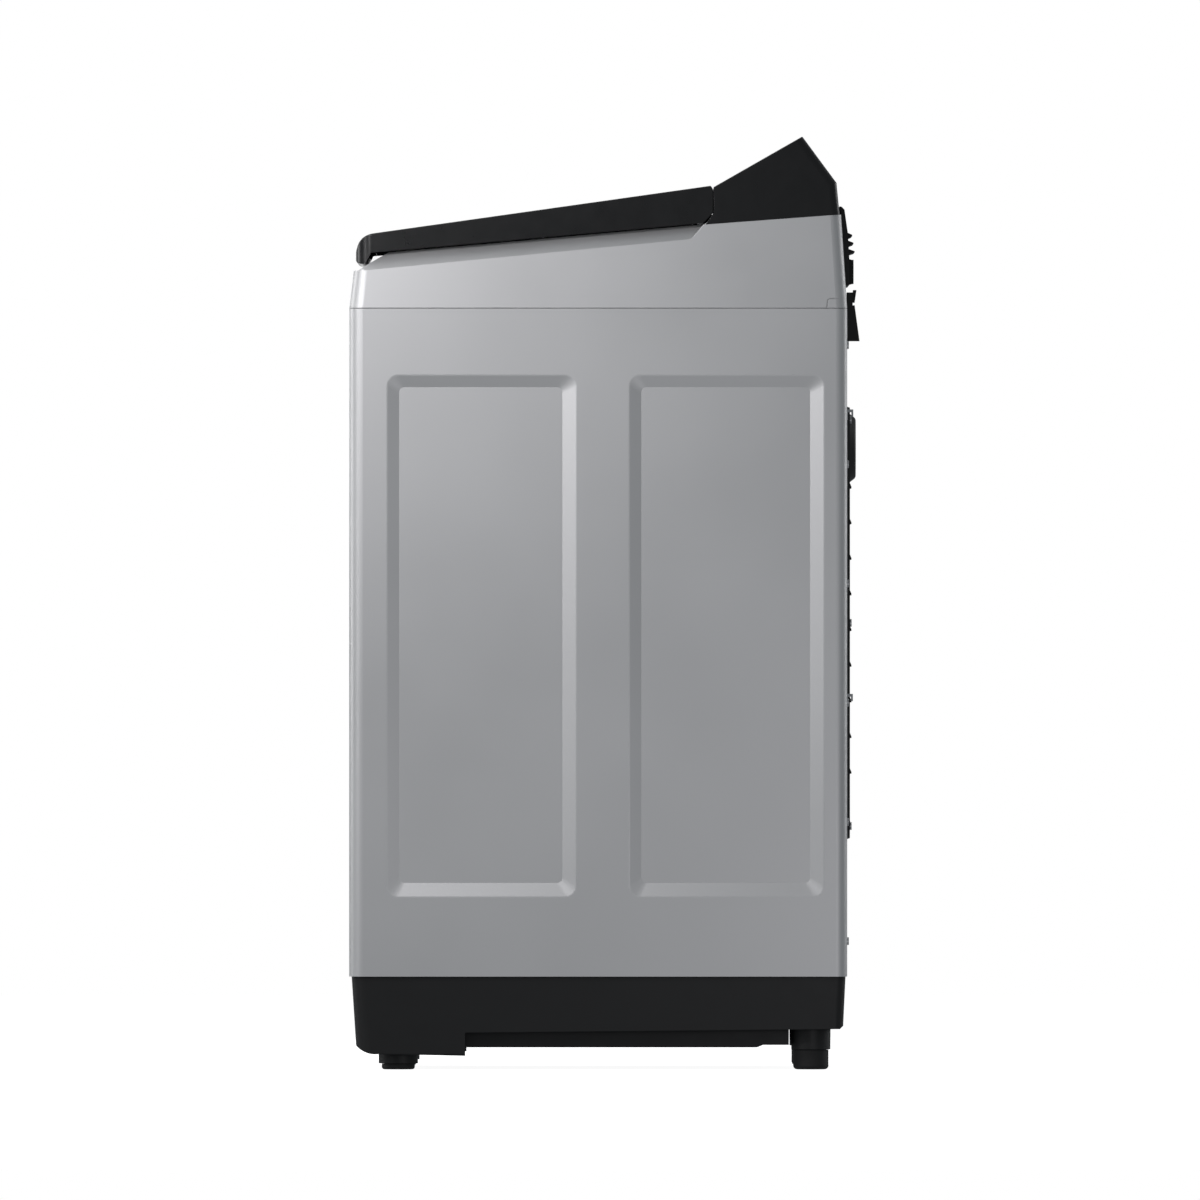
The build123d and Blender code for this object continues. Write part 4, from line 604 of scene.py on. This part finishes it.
COLUMNS = 288
hub_r, rim_r = TOP_LINE[0][0], TOP_LINE[-1][0]
reaches = [hub_r + (rim_r - hub_r) * row / RINGS for row in range(RINGS + 1)]
pulsator_points = []
profile = [("flat", *seat) for seat in SCREW_SEAT]
profile += [("top", reach, 0.0) for reach in reaches]
profile += [("flat", *under) for under in UNDER_LINE]
for kind, reach, level in profile:
    for column in range(COLUMNS):
        turn = 2 * math.pi * column / COLUMNS
        height = pulsator_height(reach, turn) if kind == "top" else level
        pulsator_points.append(about_tub(reach * MM, turn, height * MM))
pulsator_faces = grid_faces(len(profile), COLUMNS, True)
last_row = (len(profile) - 1) * COLUMNS
pulsator_faces += [(last_row + column, last_row + (column + 1) % COLUMNS, (column + 1) % COLUMNS, column)
                   for column in range(COLUMNS)]
vaned_pulsator = piece("vaned_pulsator", pulsator_points, pulsator_faces, "pulsator_plastic", "pulsator")
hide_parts("pulsator")


# ---------------------------------------------------------------- printing on sloped faces
def sloped(origin, slope):
    """A function from (across, up the slope, out) in millimetres to a point in the frame."""
    def at(across, up, out):
        return (across * MM, origin[0] * MM + (up * math.cos(slope) - out * math.sin(slope)) * MM,
                origin[1] * MM + (up * math.sin(slope) + out * math.cos(slope)) * MM)
    return at


class Print:
    """Flat shapes laid on a sloped face, gathered into one thin solid."""

    def __init__(self, at, low, thickness):
        self.at = at
        self.low = low
        self.thickness = thickness
        self.points = []
        self.faces = []

    def polygon(self, outline):
        """Add one filled outline."""
        start, count = len(self.points), len(outline)
        self.points += [self.at(across, up, self.low) for across, up in outline]
        self.points += [self.at(across, up, self.low + self.thickness) for across, up in outline]
        self.faces.append(tuple(range(start, start + count)))
        self.faces.append(tuple(range(start + 2 * count - 1, start + count - 1, -1)))
        self.faces += [(start + index, start + (index + 1) % count, start + count + (index + 1) % count,
                        start + count + index) for index in range(count)]

    def disc(self, across, up, radius, sides=14):
        self.polygon([(across + radius * math.cos(2 * math.pi * side / sides),
                       up + radius * math.sin(2 * math.pi * side / sides)) for side in range(sides)])

    def stroke(self, start, end, width):
        """A straight line with square ends."""
        run = Vector((end[0] - start[0], end[1] - start[1]))
        run.normalize()
        over = Vector((-run.y, run.x)) * width / 2
        run = run * width * 0.3
        self.polygon([(start[0] - run.x - over.x, start[1] - run.y - over.y),
                      (end[0] + run.x - over.x, end[1] + run.y - over.y),
                      (end[0] + run.x + over.x, end[1] + run.y + over.y),
                      (start[0] - run.x + over.x, start[1] - run.y + over.y)])

    def arc(self, across, up, radius, width, first, last, steps=24):
        """Part of a ring, between two angles in degrees."""
        start = len(self.points)
        whole = abs(last - first) >= 360
        count = steps if whole else steps + 1
        for index in range(count):
            angle = math.radians(first + (last - first) * index / steps)
            for reach in (radius - width / 2, radius + width / 2):
                for out in (self.low, self.low + self.thickness):
                    self.points.append(self.at(across + reach * math.cos(angle),
                                               up + reach * math.sin(angle), out))
        for index in range(steps):
            a, b = start + 4 * index, start + 4 * ((index + 1) % count)
            self.faces += [(a, b, b + 1, a + 1), (a + 2, a + 3, b + 3, b + 2), (a, a + 2, b + 2, b),
                           (a + 1, b + 1, b + 3, a + 3)]
        if not whole:
            for end in (start, start + 4 * steps):
                self.faces.append((end, end + 1, end + 3, end + 2))

    def finish(self, name, material, slot_name, body):
        made = piece(name, self.points, self.faces, slot_name, body, smooth=False)
        made.data.materials.clear()
        made.data.materials.append(material)
        return made


def ink(name, colour, glow=0.0):
    """Screen-printed ink, a little uneven, lit from behind where glow is above 0."""
    material, tree, shader = new_material(name)
    point = object_point(tree)
    base = tint(tree, noise(tree, point, 700.0), shade(colour, 0.86), shade(colour, 1.1))
    tree.links.new(base, shader.inputs["Base Color"])
    tree.links.new(spread(tree, noise(tree, point, 300.0), 0.35, 0.6), shader.inputs["Roughness"])
    bump(tree, shader, noise(tree, point, 1800.0), 0.3, 0.00001)
    if glow > 0:
        tree.links.new(base, shader.inputs["Emission Color"])
        shader.inputs["Emission Strength"].default_value = glow
    return material


WHITE_INK = ink("white_ink", (0.55, 0.56, 0.57))
LIT_INK = ink("lit_segments", (0.62, 0.78, 0.90), 1.4)
DARK_INK = ink("button_symbol_ink", (0.72, 0.73, 0.74))
CERAMIC_INK = ink("ceramic_border_ink", (0.012, 0.012, 0.013))

SLOPE_ANGLE = math.atan(53.4 / 93.5)
panel_at = sloped((165.75, 989.0), SLOPE_ANGLE)
PANEL_FACE = -0.6
PRINT_T = 0.06
BUTTON_TOP = 0.4

# the panel's printing: rings round the power and start buttons, captions as plain bars, level ticks and
# course dots
panel_print = Print(panel_at, PANEL_FACE + 0.01, PRINT_T)
panel_print.arc(-196, 0, 16.0, 0.5, 0, 360, 48)
panel_print.arc(190, 0, 19.5, 0.5, 0, 360, 48)
for button_x in (-112.0, 84.0, 132.0):
    for row in range(4):
        panel_print.disc(button_x - 11, 17.0 + 5.2 * row, 0.85)
        panel_print.stroke((button_x - 7.5, 17.0 + 5.2 * row),
                           (button_x + 9 - 2.2 * (row % 3), 17.0 + 5.2 * row), 0.9)
    panel_print.stroke((button_x - 9, -15.5), (button_x + 9, -15.5), 0.8)
# water drop over the water button, swirl over the spin button, garment over the course button
panel_print.arc(84, -25.5, 3.4, 0.7, -215, 35)
panel_print.stroke((81.2, -23.4), (84, -18.6), 0.7)
panel_print.stroke((86.8, -23.4), (84, -18.6), 0.7)
for radius, first in ((5.2, 20), (3.6, 150), (2.0, 280)):
    panel_print.arc(132, -24, radius, 0.7, first, first + 230)
for start, end in (((-117, -21), (-113.5, -19)), ((-110.5, -19), (-107, -21)), ((-117, -21), (-115, -24)),
                   ((-107, -21), (-109, -24)), ((-115, -24), (-115, -29)), ((-109, -24), (-109, -29)),
                   ((-115, -29), (-109, -29))):
    panel_print.stroke(start, end, 0.7)
panel_print.arc(-112, -18.6, 1.6, 0.6, 190, 350, 12)
panel_print.finish("panel_print", WHITE_INK, "panel_gloss", ROOT)

# the display: remaining time in seven-segment figures, with small stage marks below
SEGMENTS = {"0": "abcdef", "4": "bcfg", "5": "acdfg", ":": ""}
FIGURE_W, FIGURE_H = 9.0, 18.0
display = Print(panel_at, PANEL_FACE + 0.01, PRINT_T)
figure_x = -38.0
for figure in "0:45":
    if figure == ":":
        display.disc(figure_x, 6.5, 1.0)
        display.disc(figure_x, -1.5, 1.0)
        figure_x += 5.0
        continue
    ends = {"a": ((0, 1), (1, 1)), "b": ((1, 1), (1, 0.5)), "c": ((1, 0.5), (1, 0)), "d": ((0, 0), (1, 0)),
            "e": ((0, 0.5), (0, 0)), "f": ((0, 1), (0, 0.5)), "g": ((0, 0.5), (1, 0.5))}
    for segment in SEGMENTS[figure]:
        (x0, y0), (x1, y1) = ends[segment]
        run_x, run_y = (x1 - x0) * FIGURE_W, (y1 - y0) * FIGURE_H
        length = math.hypot(run_x, run_y)
        trim_x, trim_y = run_x / length * 1.1, run_y / length * 1.1
        display.stroke((figure_x + x0 * FIGURE_W + trim_x, -6.5 + y0 * FIGURE_H + trim_y),
                       (figure_x + x1 * FIGURE_W - trim_x, -6.5 + y1 * FIGURE_H - trim_y), 1.4)
    figure_x += FIGURE_W + 5.0
for mark in range(4):
    display.stroke((10.0 + 6.5 * mark, 2.0), (14.0 + 6.5 * mark, 2.0), 1.6)
    display.stroke((10.0 + 6.5 * mark, -4.0), (14.0 + 6.5 * mark, -4.0), 0.7)
display.arc(17, 8.6, 2.6, 0.6, 0, 300)
display.arc(28, 8.6, 2.6, 0.6, 40, 340)
display.finish("display_figures", LIT_INK, "display_lens", ROOT)

# symbols on the buttons
power_symbol = Print(panel_at, BUTTON_TOP + 0.005, PRINT_T)
power_symbol.arc(-196, -0.4, 4.4, 0.9, 120, 420)
power_symbol.stroke((-196, 0.6), (-196, 5.2), 0.9)
power_symbol.finish("power_symbol", DARK_INK, "button_plastic", "power_button")
start_symbol = Print(panel_at, BUTTON_TOP + 0.005, PRINT_T)
start_symbol.polygon([(184.6, -4.4), (191.0, 0.0), (184.6, 4.4)])
start_symbol.stroke((193.2, -3.8), (193.2, 3.8), 1.3)
start_symbol.stroke((196.4, -3.8), (196.4, 3.8), 1.3)
start_symbol.finish("start_symbol", DARK_INK, "button_plastic", "start_button")
for button_name, button_x in (("course", -112.0), ("water", 84.0), ("spin", 132.0)):
    chevron = Print(panel_at, BUTTON_TOP + 0.005, PRINT_T)
    chevron.stroke((button_x - 4.2, -1.8), (button_x, 2.0), 1.1)
    chevron.stroke((button_x, 2.0), (button_x + 4.2, -1.8), 1.1)
    chevron.finish(f"{button_name}_symbol", DARK_INK, "button_plastic", f"{button_name}_button")

# ---------------------------------------------------------------- ceramic border under the lid glass
LID_ANGLE = math.atan(0.14098)
lid_at = sloped((-76.0, 936.67), LID_ANGLE)
FRIT_OUT = -4.06         # just below the 4 mm glass
FRIT_T = 0.07
BORDER_HALF, BORDER_V = 200.0, (-128.0, 132.0)


def rounded_outline(half, low, high, radius, steps=12):
    """Points round a rectangle with rounded corners."""
    outline = []
    corners = ((half - radius, high - radius, 0), (-half + radius, high - radius, 90),
               (-half + radius, low + radius, 180), (half - radius, low + radius, 270))
    for centre_x, centre_y, first in corners:
        for step in range(steps + 1):
            angle = math.radians(first + 90 * step / steps)
            outline.append((centre_x + radius * math.cos(angle), centre_y + radius * math.sin(angle)))
    return outline


outer = rounded_outline(238.5, -160.5, 170.5, 13.0)
inner = rounded_outline(BORDER_HALF, BORDER_V[0], BORDER_V[1], 22.0)
count = len(outer)
frit_points = [lid_at(across, up, FRIT_OUT) for across, up in outer + inner]
frit_faces = [(index, (index + 1) % count, count + (index + 1) % count, count + index)
              for index in range(count)]


def frit_down(point):
    """A point's partner on the border's lower face."""
    return (point[0], point[1] + FRIT_T * MM * math.sin(LID_ANGLE),
            point[2] - FRIT_T * MM * math.cos(LID_ANGLE))


frit_points, frit_faces = thicken(frit_points, frit_faces, frit_down)
frit = piece("glass_border", frit_points, frit_faces, "lid_glass", "lid", smooth=False)
frit.data.materials.clear()
frit.data.materials.append(CERAMIC_INK)
dots = Print(lid_at, FRIT_OUT - FRIT_T, FRIT_T)
for row, (inset, radius) in enumerate(((2.2, 1.15), (5.0, 0.85), (7.6, 0.55))):
    outline = rounded_outline(BORDER_HALF - inset, BORDER_V[0] + inset, BORDER_V[1] - inset, 22.0 - inset)
    outline.append(outline[0])
    travelled = 1.6 * (row % 2)
    for start, end in zip(outline, outline[1:]):
        length = math.hypot(end[0] - start[0], end[1] - start[1])
        while travelled < length:
            share = travelled / length
            dots.disc(start[0] + (end[0] - start[0]) * share,
                      start[1] + (end[1] - start[1]) * share, radius, 8)
            travelled += 3.4
        travelled -= length
dots.finish("glass_border_dots", CERAMIC_INK, "lid_glass", "lid")

# ---------------------------------------------------------------- threads on the inlet ports
THREAD_ROOT = 13.05       # just inside the ports' surface
for port_x in (-0.168, -0.118):
    points, steps, pitch, turns = [], 40, 1.81 * MM, 6
    for step in range(steps * turns + 1):
        angle = 2 * math.pi * step / steps
        along_y = 0.2595 + pitch * step / steps
        fade = min(1.0, step / 30, (steps * turns - step) / 30)
        crest = THREAD_ROOT + 0.95 * fade + 0.02
        for reach, shift in ((THREAD_ROOT, -0.72), (crest, -0.12), (crest, 0.12), (THREAD_ROOT, 0.72)):
            points.append((port_x + reach * MM * math.cos(angle), along_y + shift * MM,
                           0.8725 + reach * MM * math.sin(angle)))
    faces = grid_faces(steps * turns + 1, 4, True)
    faces += [(0, 1, 2, 3), tuple(len(points) - 4 + index for index in range(4))]
    thread_name = "port_thread_hot" if port_x < -0.15 else "port_thread_cold"
    piece(thread_name, points, faces, slots["inlet_valves"], ROOT)

# ---------------------------------------------------------------- net in the lint filter
NET_R = 196.6 * MM
net_points, net_faces = [], []


def thread_between(places, radius):
    """Add one thread of the net through these places."""
    start = len(net_points)
    sides = 5
    for place in places:
        outwards = Vector((place[0] - tub_x, place[1] - tub_y, 0)).normalized()
        for side in range(sides):
            phase = 2 * math.pi * side / sides
            if places[0][2] == places[-1][2]:
                offset = outwards * math.cos(phase) + Vector((0, 0, 1)) * math.sin(phase)
            else:
                offset = outwards * math.cos(phase) + outwards.cross(Vector((0, 0, 1))) * math.sin(phase)
            net_points.append(tuple(Vector(place) + offset * radius))
    net_faces.extend(grid_faces(len(places), sides, True, start))
    net_faces.append(tuple(range(start, start + sides)))
    net_faces.append(tuple(len(net_points) - sides + side for side in range(sides)))


for row in range(31):
    z = 0.489 + 0.032 * row / 30
    thread_between([about_tub(NET_R + 0.12 * MM * (-1) ** step, math.pi / 2 - 0.056 + 0.112 * step / 20, z)
                    for step in range(21)], 0.14 * MM)
for column in range(23):
    turn = math.pi / 2 - 0.056 + 0.112 * column / 22
    thread_between([about_tub(NET_R - 0.12 * MM * (-1) ** step, turn, 0.4888 + 0.0324 * step / 20)
                    for step in range(21)], 0.14 * MM)
piece("lint_net", net_points, net_faces, "filter_plastic", "lint_filter")

# ---------------------------------------------------------------- stage
floor_mesh = bpy.data.meshes.new("floor")
FLOOR_HALF = 9.0
floor_mesh.from_pydata([(-FLOOR_HALF, -FLOOR_HALF, 0), (FLOOR_HALF, -FLOOR_HALF, 0),
                        (FLOOR_HALF, FLOOR_HALF, 0), (-FLOOR_HALF, FLOOR_HALF, 0)], [], [(0, 1, 2, 3)])
floor = bpy.data.objects.new("floor", floor_mesh)
bpy.context.collection.objects.link(floor)
floor.visible_diffuse = False
floor.visible_glossy = False
floor_material, _, floor_shader = new_material("floor_white")
floor_shader.inputs["Base Color"].default_value = (0.4, 0.4, 0.4, 1)
floor_shader.inputs["Roughness"].default_value = 0.7
floor_shader.inputs["Specular IOR Level"].default_value = 0.1
floor_shader.inputs["Emission Color"].default_value = (1, 1, 1, 1)
floor_shader.inputs["Emission Strength"].default_value = 0.94
floor_mesh.materials.append(floor_material)

world = bpy.data.worlds.new("studio")
bpy.context.scene.world = world
world.use_nodes = True
world_tree = world.node_tree
world_tree.nodes.clear()
surround = world_tree.nodes.new("ShaderNodeBackground")
surround.inputs["Color"].default_value = (0.90, 0.96, 1.0, 1)
surround.inputs["Strength"].default_value = 0.24
backdrop = world_tree.nodes.new("ShaderNodeBackground")
backdrop.inputs["Color"].default_value = (1, 1, 1, 1)
backdrop.inputs["Strength"].default_value = 1.0
path = world_tree.nodes.new("ShaderNodeLightPath")
choose = world_tree.nodes.new("ShaderNodeMixShader")
world_out = world_tree.nodes.new("ShaderNodeOutputWorld")
world_tree.links.new(path.outputs["Is Camera Ray"], choose.inputs["Fac"])
world_tree.links.new(surround.outputs["Background"], choose.inputs[1])
world_tree.links.new(backdrop.outputs["Background"], choose.inputs[2])
world_tree.links.new(choose.outputs["Shader"], world_out.inputs["Surface"])


def softbox(name, place, aim, size, power, colour=(1, 1, 1), spread_deg=180):
    """Square area light that the camera doesn't see."""
    light = bpy.data.lights.new(name, "AREA")
    light.shape = "RECTANGLE"
    light.size, light.size_y = size
    light.energy = power
    light.color = colour
    light.spread = math.radians(spread_deg)
    obj = bpy.data.objects.new(name, light)
    obj.location = place
    obj.rotation_euler = (Vector(aim) - Vector(place)).to_track_quat("-Z", "Y").to_euler()
    obj.visible_camera = False
    bpy.context.collection.objects.link(obj)
    return obj


# name, place, aim, size, power, colour and, for a narrow beam, its spread. The small key stands near the
# upper front corner of the right side, so that its light falls away over the side towards the rear and the
# foot. drum_light shines down into the drum when the lid is open.
LIGHTS = (
    ("key", (1.08, -0.66, 1.36), (0.27, -0.30, 0.80), (0.20, 0.20), 5.2, (1.0, 0.985, 1.0)),
    ("glint", (1.6, -0.60, 1.10), (0.27, -0.2, 0.88), (0.2, 0.2), 2.8, (1.0, 0.985, 1.0)),
    ("corner_strip", (2.0, -2.0, 0.9), (0.27, -0.27, 0.6), (0.3, 1.6), 5.0, (1.0, 0.99, 1.0)),
    ("nose_glint", (1.8, -1.9, 1.25), (0.27, -0.26, 0.90), (0.12, 0.12), 5.0, (1.0, 0.99, 1.0)),
    ("rear_low", (1.5, 0.50, 0.12), (0.27, 0.22, 0.15), (0.3, 0.2), 1.0, (1.0, 0.97, 1.0)),
    ("front_strip", (-0.5, -2.8, 1.3), (0.0, -0.27, 0.55), (1.0, 2.0), 22, (1.0, 1.0, 1.0)),
    ("rear_strip", (-1.3, 2.8, 1.3), (0.0, 0.26, 0.6), (1.0, 2.0), 14, (1.0, 1.0, 1.0)),
    ("top_fill", (-0.6, -0.4, 3.0), (0.0, 0.0, 0.9), (1.6, 1.6), 22, (1.0, 1.0, 1.0)),
    ("drum_light", (0.0, -0.06, 2.4), (0.0, -0.06, 0.3), (0.25, 0.25), 1.2, (1.0, 1.0, 1.0), 8),
    ("left_fill", (-2.8, -0.9, 1.5), (-0.27, 0.0, 0.6), (1.8, 1.8), 36, (1.0, 1.0, 1.0)),
)
for light_row in LIGHTS:
    softbox(*light_row)

# ---------------------------------------------------------------- camera
CAMERA_DISTANCE = 50.0
FRAME_WIDTH = 1.308
side_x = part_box("cabinet")[1].x
camera_data = bpy.data.cameras.new("camera")
camera_data.sensor_width = 36.0
camera_data.lens = camera_data.sensor_width * CAMERA_DISTANCE / FRAME_WIDTH
camera_data.clip_end = 100.0
camera = bpy.data.objects.new("camera", camera_data)
camera.location = (side_x + CAMERA_DISTANCE, -0.005, 0.512)
camera.rotation_euler = (math.radians(90), 0, math.radians(90))
bpy.context.collection.objects.link(camera)
bpy.context.scene.camera = camera
bpy.context.scene.view_settings.view_transform = "Standard"
bpy.context.scene.view_settings.look = "None"
